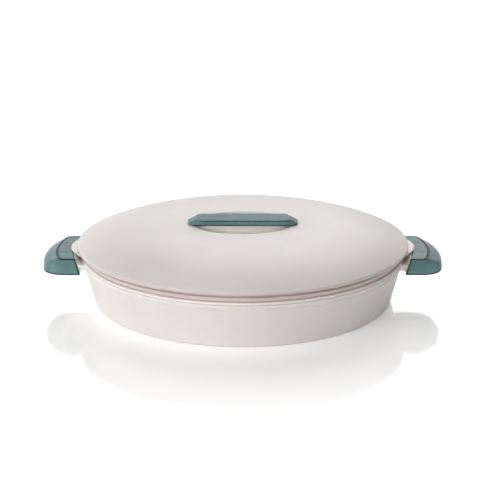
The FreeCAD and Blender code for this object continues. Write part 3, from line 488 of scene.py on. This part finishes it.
class Form:
    """A mesh in the making. Each face carries its look, the number of its material."""

    def __init__(self):
        self.vertices = []
        self.faces = []
        self.looks = []

    def face(self, corners, look=0):
        self.faces.append(corners)
        self.looks.append(look)

    def skin(self, rows, around=True, along=False, looks=None):
        """Join rows of equally many points. around closes each row, and along joins the last
        row to the first."""
        start, count = len(self.vertices), len(rows[0])
        for row in rows:
            self.vertices += row
        for i in range(len(rows) if along else len(rows) - 1):
            low, high = start + i * count, start + (i + 1) % len(rows) * count
            for j in range(count if around else count - 1):
                side = (j + 1) % count
                self.face((low + j, low + side, high + side, high + j), looks[i] if looks else 0)
        return start

    def block(self, rows, look=0):
        """A solid through closed rows, with its first and last row filled."""
        start, count = self.skin(rows, looks=[look] * len(rows)), len(rows[0])
        for first in (start, start + (len(rows) - 1) * count):
            self.face(tuple(range(first, first + count)), look)

    def prism(self, line, low, high, look=0):
        """A solid over a closed line. low and high place both ends of what a point becomes."""
        self.block([[Vector(low(p)) for p in line], [Vector(high(p)) for p in line]], look)

    def paint(self, look, wanted):
        """Give a look to the faces whose middle is wanted."""
        for number, corners in enumerate(self.faces):
            middle = sum((self.vertices[c] for c in corners), Vector((0, 0, 0))) / len(corners)
            if wanted(middle):
                self.looks[number] = look

    def join(self, other):
        start = len(self.vertices)
        self.vertices += other.vertices
        self.faces += [tuple(start + c for c in corners) for corners in other.faces]
        self.looks += other.looks

    def mirrored(self):
        other = Form()
        other.vertices = [Vector((-v.x, v.y, v.z)) for v in self.vertices]
        other.faces, other.looks = self.faces, self.looks
        return other

    def piece(self, name, body, height, slot, materials, replaced):
        """Make the object, its zero at a height in metres, riding on a body."""
        mesh = bpy.data.meshes.new(name)
        lift = Vector((0, 0, height))
        mesh.from_pydata([v * MM + lift for v in self.vertices], [], self.faces)
        for material in materials:
            mesh.materials.append(material)
        mesh.polygons.foreach_set("material_index", self.looks)
        work = bmesh.new()
        work.from_mesh(mesh)
        bmesh.ops.remove_doubles(work, verts=work.verts, dist=SAME_POINT)
        bmesh.ops.dissolve_degenerate(work, edges=work.edges, dist=NO_LENGTH)
        bmesh.ops.recalc_face_normals(work, faces=work.faces)
        work.to_mesh(mesh)
        work.free()
        mesh.shade_smooth()
        mesh.set_sharp_from_angle(angle=SHARP)
        thing = bpy.data.objects.new(name, mesh)
        scene.collection.objects.link(thing)
        weigh = thing.modifiers.new("even_normals", "WEIGHTED_NORMAL")
        weigh.keep_sharp = True
        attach(thing, body)
        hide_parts(*replaced)


DISH_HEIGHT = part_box("dish")[0].z
LID_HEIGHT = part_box("lid_inner_liner")[0].z

# From here on a line of a turned piece has (radius, height, rounding) corners.

# ---------------------------------------------------------------- dish

DISH_BOTTOM, DISH_NECK = (126.8, 2.2), (133.6, 37.7)
GROOVES = (9.3, 17.7, 26.1, 34.5)
GROOVE_DEPTH, GROOVE_WIDTH = 0.6, 0.58
BAND_CROWN = 0.06
DISH_UNDER = [(0, 2.2, 0), (99, 2.2, 0), (99, 0, 0.8), (104, 0, 0.8), (104, 2.2, 0),
              (124.4, 2.2, 0)]
HEEL_CENTRE, HEEL_RADIUS, HEEL_ANGLES = (124.4, 4.8), 2.6, range(10, 80, 10)
DISH_WALL = (5.0, 37.0, 160)                    # from a height to a height in steps
DISH_RIM = [(133.6, 37.0, 0), (133.9, 37.9, 1.2), (135.0, 39.1, 0.6), (135.0, 40.7, 1.3),
            (129.8, 40.7, 2.1), (122.0, 6.2, 12.0), (0, 6.2, 0)]
# limits of the painted light: the inside lies within a radius that grows over a height by a rise
INSIDE_RADII, INSIDE_HEIGHT, INSIDE_RISE = (123.0, 130.0), 6, 35
# where the grooves' painted shade lies
GROOVE_RADIUS, GROOVE_HALF = 126.0, 0.45


def dish_wall(height):
    """Radius of the dish's outer wall: bands that swell between soft grooves."""
    share = (height - DISH_BOTTOM[1]) / (DISH_NECK[1] - DISH_BOTTOM[1])
    radius = between(DISH_BOTTOM[0], DISH_NECK[0], share)
    pitch = GROOVES[1] - GROOVES[0]
    swell = math.sin(math.pi * (height - GROOVES[0]) / pitch) ** 2
    dents = sum(math.exp(-((height - g) / GROOVE_WIDTH) ** 2) for g in GROOVES)
    return radius + BAND_CROWN * swell - GROOVE_DEPTH * dents


def dish_line():
    """The dish's section from its underside round to its floor."""
    x, z = HEEL_CENTRE
    heel = [Vector((x + HEEL_RADIUS * math.sin(a), z - HEEL_RADIUS * math.cos(a)))
            for a in (math.radians(d) for d in HEEL_ANGLES)]
    wall = [Vector((dish_wall(h), h)) for h in spaced(*DISH_WALL)]
    return rounded(DISH_UNDER) + heel + wall + rounded(DISH_RIM, steps=10)[1:]


# The inside of the dish, which gets painted light.
def in_dish_painted_light(point):
    limit = between(*INSIDE_RADII, (point.z - INSIDE_HEIGHT) / INSIDE_RISE)
    return point.z > INSIDE_HEIGHT and off_axis(point) < limit


def in_groove_pool_and_shade(point):
    near = min(abs(point.z - g) for g in GROOVES)
    return off_axis(point) > GROOVE_RADIUS and near < GROOVE_HALF


dish_form = Form()
dish_form.skin(turn(dish_line()))
# Painted light inside the dish.
dish_form.paint(1, in_dish_painted_light)
# Painted shade in the grooves, with glaze pooled in them.
dish_form.paint(2, in_groove_pool_and_shade)
dish_form.piece("dish_glazed", "dish", DISH_HEIGHT, "white_glaze",
                [GLAZE, GLAZE_PAINTED_LIGHT, GLAZE_POOL_AND_SHADE], ["dish"])

# ---------------------------------------------------------------- shell of the lid

CROWN, KNEE_RADIUS, KNEE = 30.1, 95.0, 27.5
LID_RADIUS, LID_WALL = 154.18, 2.0
EDGE_OVER, EDGE_UNDER, EDGE_INNER = 13.2, 10.6, 151.6
EDGE_ROLL, EDGE_CORNER, EDGE_INNER_CORNER = 2.1, 0.5, 0.3
RIB_OUTER, RIB_INNER, SEAT = 146.0, 143.8, 12.6
# the finger well is the lower half of an ellipsoid with a rounded lip
WELL_CENTRE = CROWN + 1.0
WELL_AXES = (47.195, 38.158, 11.0)
LIP, LIP_BLEND = (46.6, 37.7), 2.4
EDGE_PAINT = EDGE_OVER - 0.2                    # where the painted shade on the rolled edge ends
SHOULDER_RINGS, UNDER_RINGS = 24, 12
# Rings as shares of the way to the lip and from there to the knee, closest at the lip.
WELL_RINGS = (0.0, 0.1, 0.2, 0.3, 0.4, 0.5, 0.6, 0.68, 0.75, 0.8, 0.84, 0.87, 0.9, 0.92, 0.94,
              0.955, 0.97, 0.98, 0.99, 1.0)
CROWN_RINGS = (0.006, 0.012, 0.02, 0.03, 0.045, 0.065, 0.1, 0.15, 0.22, 0.3, 0.4, 0.5, 0.6,
               0.7, 0.8, 0.9, 1.0)

# The crown's arc is level in the middle. The shoulder's arc goes on in its direction at the
# knee and ends at the top of the edge.
CROWN_RADIUS = (KNEE_RADIUS ** 2 + (CROWN - KNEE) ** 2) / (2 * (CROWN - KNEE))
KNEE_SINE = KNEE_RADIUS / CROWN_RADIUS
KNEE_COSINE = math.sqrt(1 - KNEE_SINE ** 2)
SPAN, FALL = LID_RADIUS - KNEE_RADIUS, KNEE - EDGE_OVER
SHOULDER_RADIUS = (SPAN ** 2 + FALL ** 2) / (2 * (FALL * KNEE_COSINE - SPAN * KNEE_SINE))
SHOULDER_CENTRE = (KNEE_RADIUS - KNEE_SINE * SHOULDER_RADIUS,
                   KNEE - KNEE_COSINE * SHOULDER_RADIUS)


def dome(radius):
    """Height of the lid's top at a radius: a flat crown arc and a tighter shoulder arc."""
    if radius < KNEE_RADIUS:
        return CROWN - CROWN_RADIUS + math.sqrt(CROWN_RADIUS ** 2 - radius ** 2)
    across = radius - SHOULDER_CENTRE[0]
    return SHOULDER_CENTRE[1] + math.sqrt(SHOULDER_RADIUS ** 2 - across ** 2)


def under_dome(radius):
    """A point of the section on the lid's underside."""
    return Vector((radius, dome(radius) - LID_WALL))


def lid_top(x, y, sink):
    """Height of the lid with its finger well, moved down into the wall by sink."""
    over = dome(math.hypot(x, y)) - sink
    reach = (x / (WELL_AXES[0] + sink)) ** 2 + (y / (WELL_AXES[1] + sink)) ** 2
    if reach >= 1:
        return over
    well = WELL_CENTRE - (WELL_AXES[2] + sink) * math.sqrt(1 - reach)
    return soft_min(over, well, LIP_BLEND)


def crown_rows(sink):
    """Rings from the middle of the well over its lip, growing from its ellipse to a circle."""
    sizes = [(LIP[0] * s, LIP[1] * s) for s in WELL_RINGS]
    sizes += [(between(LIP[0], KNEE_RADIUS, s), between(LIP[1], KNEE_RADIUS, s))
              for s in CROWN_RINGS]
    rows = []
    for wide, deep in sizes:
        plan = [(wide * math.cos(a), deep * math.sin(a)) for a in ANGLES]
        rows.append([Vector((x, y, lid_top(x, y, sink))) for x, y in plan])
    return rows


def lid_edge_line():
    """The lid's shoulder, rolled edge, rib on the liner and underside back to the knee."""
    start = LID_RADIUS - 2 * EDGE_ROLL
    shoulder = [Vector((r, dome(r))) for r in spaced(KNEE_RADIUS, start, SHOULDER_RINGS)[1:]]
    edge = rounded([
        (start, dome(start), 0), (LID_RADIUS, EDGE_OVER, EDGE_ROLL),
        (LID_RADIUS, EDGE_UNDER, EDGE_CORNER), (EDGE_INNER, EDGE_UNDER, EDGE_INNER_CORNER),
        (*under_dome(EDGE_INNER), 0)], steps=8)[1:]
    rib = [under_dome(RIB_OUTER), Vector((RIB_OUTER, SEAT)), Vector((RIB_INNER, SEAT)),
           under_dome(RIB_INNER)]
    under = [under_dome(r) for r in spaced(RIB_INNER, KNEE_RADIUS, UNDER_RINGS)[1:-1]]
    return shoulder + edge + rib + under


lid_form = Form()
lid_form.skin(crown_rows(0.0) + turn(lid_edge_line()) + crown_rows(LID_WALL)[::-1])
# The rolled edge takes the ring's painted shade.
lid_form.paint(1, lambda c: c.z < EDGE_PAINT and off_axis(c) > EDGE_INNER)
lid_form.piece("lid_dome", "lid", LID_HEIGHT, "cream_plastic", [LID_CREAM, RING_PAINTED_SHADE],
               ["lid_outer_shell"])

# ---------------------------------------------------------------- liner of the lid, with its tabs

RING_RADIUS, RING_UNDER, RING_OVER = 148.0, 3.0, 6.6
GAP_WALL = RIB_OUTER                            # the wall that shows in the gap over the ring
LIP_OUTER, LIP_INNER = 142.4, 140.7
CEILING_RADIUS, CEILING_UNDER, CEILING_OVER = 128.0, 14.4, 16.1
CEILING_ROUND, CEILING_WALL = 9.0, 0.85
PLUG_HOLE = 6.1
LINER_LINE = [
    (PLUG_HOLE, CEILING_UNDER, 0), (CEILING_RADIUS, CEILING_UNDER, CEILING_ROUND),
    (LIP_INNER, RING_UNDER + 1.0, 0.8), (LIP_INNER, 0, 0.5), (LIP_OUTER, 0, 0.5),
    (LIP_OUTER, RING_UNDER, 0), (RING_RADIUS, RING_UNDER, 0.8), (RING_RADIUS, RING_OVER, 1.0),
    (GAP_WALL, RING_OVER, 0.6), (GAP_WALL, SEAT, 0), (RIB_INNER, SEAT, 0),
    (RIB_INNER, RING_OVER, 0),
    (CEILING_RADIUS + CEILING_WALL, CEILING_OVER, CEILING_ROUND + CEILING_WALL),
    (PLUG_HOLE, CEILING_OVER, 0)]
TAB_REACH, TAB_RADIUS, TAB_BLEND, TAB_TAIL = 160.8, 46.0, 12.0, 145.0
TAB_UNDER, TAB_THICKNESS = 5.8, 1.9
TAB_ROWS, HOLLOW_STEPS, NOSE_STEPS = 8, 10, 12
PAINT_MARGIN, GAP_SHADE_MARGIN = 0.5, 0.2            # from a wall or a corner to a paint's limit


def tab_outline(inset):
    """Plan of a thumb tab: a round nose that runs into the lid's edge in hollow curves."""
    centre = TAB_REACH - TAB_RADIUS
    # The hollow's centre lies this far from the lid's axis and this near the nose's centre.
    far, near = LID_RADIUS + TAB_BLEND, TAB_RADIUS + TAB_BLEND
    x = centre / 2 + (far ** 2 - near ** 2) / (2 * centre)
    y = math.sqrt(far ** 2 - x ** 2)
    hollow = arc((x, y), TAB_BLEND + inset, math.atan2(-y, -x), math.atan2(-y, centre - x),
                 HOLLOW_STEPS)
    nose = arc((centre, 0), TAB_RADIUS - inset, math.atan2(y, x - centre), 0, NOSE_STEPS)[1:]
    side = hollow + nose
    tail = math.asin(side[0].y / TAB_TAIL)
    back = arc((0, 0), TAB_TAIL, -tail, tail, NOSE_STEPS)
    return side + [Vector((p.x, -p.y)) for p in reversed(side[:-1])] + back


def tab_rows():
    """Outlines of a tab from its underside round its edge to its top."""
    half = TAB_THICKNESS / 2
    rows = []
    for k in range(TAB_ROWS + 1):
        angle = math.pi * (k / TAB_ROWS - 0.5)
        height = TAB_UNDER + half + half * math.sin(angle)
        rows.append([Vector((p.x, p.y, height)) for p in tab_outline(half * (1 - math.cos(angle)))])
    return rows


def in_gap_painted_shade(point):
    """On the wall between the ring and the edge of the shell, where the gap gets painted shade."""
    return (abs(off_axis(point) - GAP_WALL) < PAINT_MARGIN
            and RING_OVER + GAP_SHADE_MARGIN < point.z < SEAT)


liner_form = Form()
# The liner's faces that get no other paint keep the ring's painted shade.
liner_form.skin(turn(rounded(LINER_LINE)), along=True)
for side in (1, -1):
    liner_form.block([[Vector((side * p.x, p.y, p.z)) for p in row] for row in tab_rows()])
# Painted light under the lid.
liner_form.paint(1, lambda c: off_axis(c) < LIP_INNER - PAINT_MARGIN)
liner_form.paint(2, lambda c: off_axis(c) > RING_RADIUS + PAINT_MARGIN)
# Painted shade in the gap.
liner_form.paint(3, in_gap_painted_shade)
liner_form.piece("lid_liner", "lid", LID_HEIGHT, "liner_plastic", [RING_PAINTED_SHADE, LINER_PAINTED_LIGHT, TAB, GAP_PAINTED_SHADE],
                 ["lid_inner_liner"])

# ---------------------------------------------------------------- bar of the lid

BAR_UNDER = 29.6
# height over the underside, half length, half width, corner radius
BAR_LEVELS = [
    (0.0, 50.1, 11.7, 7.8), (0.5, 50.7, 12.3, 8.4), (1.0, 51.2, 12.8, 8.9), (1.2, 51.3, 12.9, 9.0),
    (1.5, 51.0, 12.88, 8.9), (4.3, 45.5, 12.26, 7.5), (4.9, 44.4, 12.12, 7.2),
    (5.3, 43.6, 12.0, 7.0), (5.4, 43.2, 11.8, 6.7), (5.4, 42.2, 11.0, 6.0)]
# Over the underside: the foot's painted shade ends, the bevel's painted shade starts and ends, and
# the top, painted darker as painted shade, starts.
BAR_FOOT, BEVEL_START, BEVEL_END, BAR_TOP = 1.15, 4.3, 5.0, 5.35
BEVEL_HALF = 40                                 # half length of the bevel's painted shade
# section of a tongue under an end of the bar: along the bar, up
TONGUE = [(0, 0), (1.6, 0), (2.4, 1.6), (2.4, 2.4), (1.6, 2.4), (1.6, 5.9), (0, 5.9)]
TONGUE_START, TONGUE_FOOT, TONGUE_HALF = 48.3, 24.55, 5.0


def bar_row(rise, half_length, half_width, radius):
    corners = [(half_length, -half_width, radius), (half_length, half_width, radius),
               (-half_length, half_width, radius), (-half_length, -half_width, radius)]
    return [Vector((p.x, p.y, BAR_UNDER + rise)) for p in rounded(corners, steps=8)]


def on_painted_shade_line(point):
    rise = point.z - BAR_UNDER
    return rise < BAR_FOOT or (BEVEL_START < rise < BEVEL_END and abs(point.x) < BEVEL_HALF)


bar_form = Form()
bar_form.block([bar_row(*level) for level in BAR_LEVELS])
# A dark foot and bevel: painted shade.
bar_form.paint(1, on_painted_shade_line)
# The top is painted darker: painted shade.
bar_form.paint(2, lambda c: c.z > BAR_UNDER + BAR_TOP)
for side in (1, -1):
    bar_form.prism([Vector((side * (TONGUE_START + x), TONGUE_FOOT + z)) for x, z in TONGUE],
                   lambda p: (p.x, -TONGUE_HALF, p.y), lambda p: (p.x, TONGUE_HALF, p.y), 1)
bar_form.piece("lid_bar", "lid", LID_HEIGHT, "teal_plastic", [TEAL, TEAL_EDGE_SHADE_AND_CLIPS, TEAL_TOP_PAINTED_SHADE],
               ["lid_handle_bar"])

# ---------------------------------------------------------------- hoods of the handles

# A level of a hood: height, reach along X, half width, corner radius.
HEIGHT, REACH, HALF, CORNER = range(4)
BOTTOM = (33.1, 186.8, 42.3, 20.0)
SHOULDER = (41.2, 185.8, 40.2, 20.0)
PANEL = (46.7, 173.8, 37.4, 5.0)
# Shares of these three at the rows under and over the shoulder, which is a curve of its own.
LOWER_ROWS = [(1, 0, 0), (0.93, 0.07, 0), (0.86, 0.14, 0)]
UPPER_ROWS = [(0, 0.3, 0.7), (0, 0.09, 0.91), (0, 0, 1)]
SHOULDER_SHARE, SHOULDER_STEPS = 0.40, 10
END_ROWS = (0.25, 0.5, 0.75, 0.93, 1.0)         # over the panel to the inner end
SIDE_STEPS, ARC_STEPS = 10, 12
HOOD_BULGE = 110.0                              # radius of the outer end
HOOD_WALL = 2.2
LEAST_CORNER = 0.8
HOOD_FACE, FACE_SLOPE = 158.0, 0.258
LINE_WIDTH, LINE_DEPTH = 0.75, 0.55             # of the groove round the panel
EDGE_LINE = 0.8                                 # width of the painted shade at the inner end
NO_LIMIT = 200.0                                # beyond the reach of a hood
# section of a clip inside a hood: across, up
CLIP = [(13.2, 39.3), (14.8, 39.3), (15.6, 40.95), (15.6, 41.75), (14.8, 41.75), (14.8, 45.6),
        (13.2, 45.6)]
CLIP_START, CLIP_LENGTH = 162.2, 7.0


def face_x(y, height, offset=0.0):
    """Where a hood starts: a face parallel to the base's wall."""
    radius = HOOD_FACE + offset + FACE_SLOPE * (height - PANEL[HEIGHT])
    return math.sqrt(radius ** 2 - y ** 2)


def hood_line(height, reach, half, corner, limit):
    """Plan of a hood at a level, from its front inner end round to its back inner end. It goes
    no further out than limit."""
    centre = reach - HOOD_BULGE
    corner_y = half - corner
    corner_x = centre + math.sqrt((HOOD_BULGE - corner) ** 2 - corner_y ** 2)
    lean = math.atan2(corner_y, corner_x - centre)
    start = face_x(half, height)
    front = [Vector((x, -half)) for x in spaced(start, corner_x, SIDE_STEPS)[:-1]]
    front += arc((corner_x, -corner_y), corner, -math.pi / 2, -lean, ARC_STEPS)
    front += arc((centre, 0), HOOD_BULGE, -lean, 0, ARC_STEPS)[1:]
    front = [Vector((min(p.x, limit), p.y)) for p in front]
    return front + [Vector((p.x, -p.y)) for p in reversed(front[:-1])]


def hood_rows(sink, bottom, limit):
    """Rows of a hood's surface from its lower edge over the shoulder and the panel to its inner
    end, moved into its wall by sink, and the look of each: 1 on its dark lines of painted shade."""
    weights = list(LOWER_ROWS)
    for share in spaced(0, 1, SHOULDER_STEPS):
        low, high = SHOULDER_SHARE * (1 - share) ** 2, SHOULDER_SHARE * share ** 2
        weights.append((low, 1 - low - high, high))
    weights += UPPER_ROWS
    plans, looks = [], []
    for weight in weights:
        height, reach, half, corner = (
            sum(w * v for w, v in zip(weight, values)) for values in zip(BOTTOM, SHOULDER, PANEL))
        fall = sink * (height - BOTTOM[HEIGHT]) / (PANEL[HEIGHT] - BOTTOM[HEIGHT])
        plans.append((max(height - fall, bottom), reach, half, corner, 0.0))
        looks.append(0)
    # The rows along the lower edge and at the panel get painted shade.
    looks[0] = looks[1] = looks[-2] = looks[-1] = 1
    while plans[1][HEIGHT] <= bottom:
        del plans[0], looks[0]
    top = PANEL[HEIGHT] - sink
    # The groove round the panel gets painted shade.
    for inset, drop, look in ((LINE_WIDTH, LINE_DEPTH, 1), (2 * LINE_WIDTH, 0.0, 0)):
        plans.append((top, PANEL[REACH] - inset, PANEL[HALF] - inset, PANEL[CORNER] - inset,
                      0.0 if sink else drop))
        looks.append(look)
    rows = []
    for height, reach, half, corner, drop in plans:
        corner = max(corner - sink, LEAST_CORNER)
        rows.append([Vector((p.x, p.y, height - drop))
                     for p in hood_line(height, reach - sink, half - sink, corner, limit)])
    last = rows[-1]
    width = abs(last[0].y)
    ends = spaced(-width, width, len(last) - 1)
    for share in END_ROWS:
        rows.append([Vector((between(p.x, face_x(y, top), share), between(p.y, y, share), top))
                     for p, y in zip(last, ends)])
        looks.append(0)
    return rows, looks


def add_hood(form, sinks, bottom, limits, edge):
    """An open shell between two hood surfaces. edge is the look of its rim, and 0 leaves the
    hood without its dark lines of painted shade."""
    outer, looks = hood_rows(sinks[0], bottom, limits[0])
    inner, _ = hood_rows(sinks[1], bottom, limits[1])
    rows, count = len(outer), len(outer[0])
    one = form.skin(outer, around=False, looks=looks if edge else None)
    two = form.skin(inner, around=False)
    border = [(0, j) for j in range(count)]
    border += [(i, count - 1) for i in range(1, rows)]
    border += [(rows - 1, j) for j in range(count - 2, -1, -1)]
    border += [(i, 0) for i in range(rows - 2, 0, -1)]
    border = [i * count + j for i, j in border]
    for here, there in zip(border, border[1:] + border[:1]):
        form.face((one + here, one + there, two + there, two + here), edge)


right_hood = Form()
add_hood(right_hood, (0.0, HOOD_WALL), BOTTOM[HEIGHT], (NO_LIMIT, NO_LIMIT), 1)
# Painted shade along the inner end.
right_hood.paint(1, lambda c: c.x - face_x(c.y, c.z) < EDGE_LINE)
for side in (1, -1):
    right_hood.prism([Vector((side * y, z)) for y, z in CLIP],
                     lambda p: (CLIP_START, p.x, p.y),
                     lambda p: (CLIP_START + CLIP_LENGTH, p.x, p.y), 1)
left_hood = right_hood.mirrored()
right_hood.piece("right_hood", "base", 0.0, "teal_plastic", [TEAL, TEAL_EDGE_SHADE_AND_CLIPS],
                 ["right_handle_cap"])
left_hood.piece("left_hood", "base", 0.0, "teal_plastic", [TEAL, TEAL_EDGE_SHADE_AND_CLIPS],
                ["left_handle_cap"])

# ---------------------------------------------------------------- shell of the base, with its ears

SHELL_LINE = [
    (PLUG_HOLE, 1.0, 0), (132.0, 1.0, 0.6), (132.0, 0, 0.8), (139.0, 0, 2.5), (148.6, 36.9, 0.3),
    (148.0, 37.4, 0.2), (148.0, 37.8, 0.2), (149.35, 38.4, 0.4), (149.35, 40.9, 0.4),
    (148.2, 41.3, 0.3), (148.2, 42.0, 0), (147.3, 42.0, 0), (146.8, 38.0, 0), (137.72, 2.8, 2.5),
    (PLUG_HOLE, 2.8, 0)]
RIM_RADIUS = 149.7                              # where the painted light on the ears starts
# the core of an ear, a smaller hood inside the cap
CORE_SINKS, CORE_BOTTOM, CORE_LIMITS = (2.35, 4.35), 35.6, (171.5, 169.5)
# the neck from the rim to the flange
NECK_TOP, NECK_BOTTOM, NECK_HALF, NECK_ROUND = 42.0, 36.0, 39.5, 1.4
NECK_START, RISE_START, RISE_POWER, RISE_STEPS = 147.4, 149.6, 2.2, 12
NECK_GAP, NECK_BITE, NECK_STEPS = 0.15, 0.4, 24
ROUND_DEGREES = (15, 30, 45, 60, 75, 90)
# the flange against the hood's inner end, with offsets from the hood's face
FLANGE_INNER, FLANGE_OUTER, FLANGE_HALF = -1.65, -0.15, 42.1
FLANGE_PITCH, FLANGE_STEPS = 1.5, 27
FLANGE_GAP, FLANGE_LEAST = 0.1, 0.3
OUTER_BEVEL, INNER_BEVEL, INNER_DROP = 0.35, 0.45, 0.4
CORNER_START, CORNER_FALL = 27.0, 0.024


def arch(y):
    """Height of a hood's outline over its inner end, at a distance from the middle."""
    y = abs(y)
    if y <= PANEL[HALF]:
        return PANEL[HEIGHT]
    high, low = (PANEL, SHOULDER) if y <= SHOULDER[HALF] else (SHOULDER, BOTTOM)
    share = (y - high[HALF]) / (low[HALF] - high[HALF])
    return between(high[HEIGHT], low[HEIGHT], share)


def ear_top(y):
    """Height of the neck and the flange at the hood's inner end, rounded off to its corners."""
    corner = max(0.0, abs(y) - CORNER_START)
    return arch(y) - CORNER_FALL * corner ** 2


def neck_row(y):
    """Section of an ear's neck: a saddle that climbs from the rim to the flange."""
    over = max(0.0, abs(y) - (NECK_HALF - NECK_ROUND))
    fall = NECK_ROUND - math.sqrt(max(0.0, NECK_ROUND ** 2 - over ** 2))
    top = max(ear_top(y) - NECK_GAP, NECK_TOP - fall)
    flange = HOOD_FACE + FLANGE_INNER
    foot = flange + FACE_SLOPE * (NECK_BOTTOM - PANEL[HEIGHT]) + NECK_BITE
    points = [(NECK_START, NECK_BOTTOM + fall / 2), (foot, NECK_BOTTOM + fall / 2),
              (flange + NECK_BITE, top)]
    for k in range(RISE_STEPS + 1):
        share = 1 - k / RISE_STEPS
        height = between(NECK_TOP - fall, top, share ** RISE_POWER)
        points.append((between(RISE_START, flange, share), height))
    points.append((NECK_START, NECK_TOP - fall))
    return [Vector((math.sqrt(r ** 2 - y ** 2), y, z)) for r, z in points]


def spread(half, steps, end):
    """Distances across an ear, closer together within end of both sides."""
    near = [half - end * (1 - math.sin(math.radians(d))) for d in ROUND_DEGREES]
    return [-d for d in reversed(near)] + spaced(-half + end, half - end, steps) + near


def flange_row(y):
    """Section of the flange that stands up behind a hood's inner end."""
    top = max(ear_top(y) - FLANGE_GAP, CORE_BOTTOM + FLANGE_LEAST)
    corners = [(CORE_BOTTOM, FLANGE_INNER), (CORE_BOTTOM, FLANGE_OUTER),
               (top - OUTER_BEVEL, FLANGE_OUTER), (top, FLANGE_OUTER - OUTER_BEVEL),
               (top, FLANGE_INNER + INNER_BEVEL), (top - INNER_DROP, FLANGE_INNER)]
    return [Vector((face_x(y, z, offset), y, z)) for z, offset in corners]


def ear():
    """The ear on the right: its neck, its flange and its core."""
    form = Form()
    form.block([neck_row(y) for y in spread(NECK_HALF, NECK_STEPS, NECK_ROUND)])
    across = [k * FLANGE_PITCH for k in range(-FLANGE_STEPS, FLANGE_STEPS + 1)]
    across += [-FLANGE_HALF, -PANEL[HALF], PANEL[HALF], FLANGE_HALF]
    form.block([flange_row(y) for y in sorted(across)])
    add_hood(form, CORE_SINKS, CORE_BOTTOM, CORE_LIMITS, 0)
    return form


right_ear = ear()
shell_form = Form()
shell_form.skin(turn(rounded(SHELL_LINE)), along=True)
shell_form.join(right_ear)
shell_form.join(right_ear.mirrored())
# The ears are painted lighter: painted light.
shell_form.paint(1, lambda c: c.z > NECK_BOTTOM and off_axis(c) > RIM_RADIUS)
shell_form.piece("base_shell", "base", 0.0, "cream_plastic", [CREAM, CREAM_PAINTED_LIGHT],
                 ["base_outer_shell"])

# ---------------------------------------------------------------- liner of the base

PAN_LINE = [
    (0, 5.3, 0), (133.2, 5.3, 11.7), (138.7, 32.0, 0), (144.7, 32.0, 0), (144.7, 42.0, 0),
    (150.0, 42.0, 0.5), (150.0, 44.0, 1.45), (143.0, 44.0, 2.6), (143.0, 33.7, 1.6),
    (137.0, 33.7, 1.8), (131.5, 7.0, 11.0), (0, 7.0, 0)]
RIM_HEIGHT, RIM_INNER = 40.5, 143.2             # where the painted light on the rim starts

# The pan is painted lighter than the shell: painted light inside the base.
pan_form = Form()
pan_form.skin(turn(rounded(PAN_LINE, steps=8)))
# The rim is painted lighter: painted light.
pan_form.paint(1, lambda c: c.z > RIM_HEIGHT and off_axis(c) > RIM_INNER)
pan_form.piece("base_pan", "base", 0.0, "liner_plastic", [LINER_PAINTED_LIGHT, CREAM_PAINTED_LIGHT],
               ["base_inner_liner"])

# ---------------------------------------------------------------- nodes that show as they are

# The foam plugs wear the liner's painted light.
WEARS = {"base_foam": FOAM, "base_foam_plug": LINER_PAINTED_LIGHT, "lid_foam": FOAM, "lid_foam_plug": LINER_PAINTED_LIGHT}
for name, look in WEARS.items():
    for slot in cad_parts[name].material_slots:
        slot.material = look
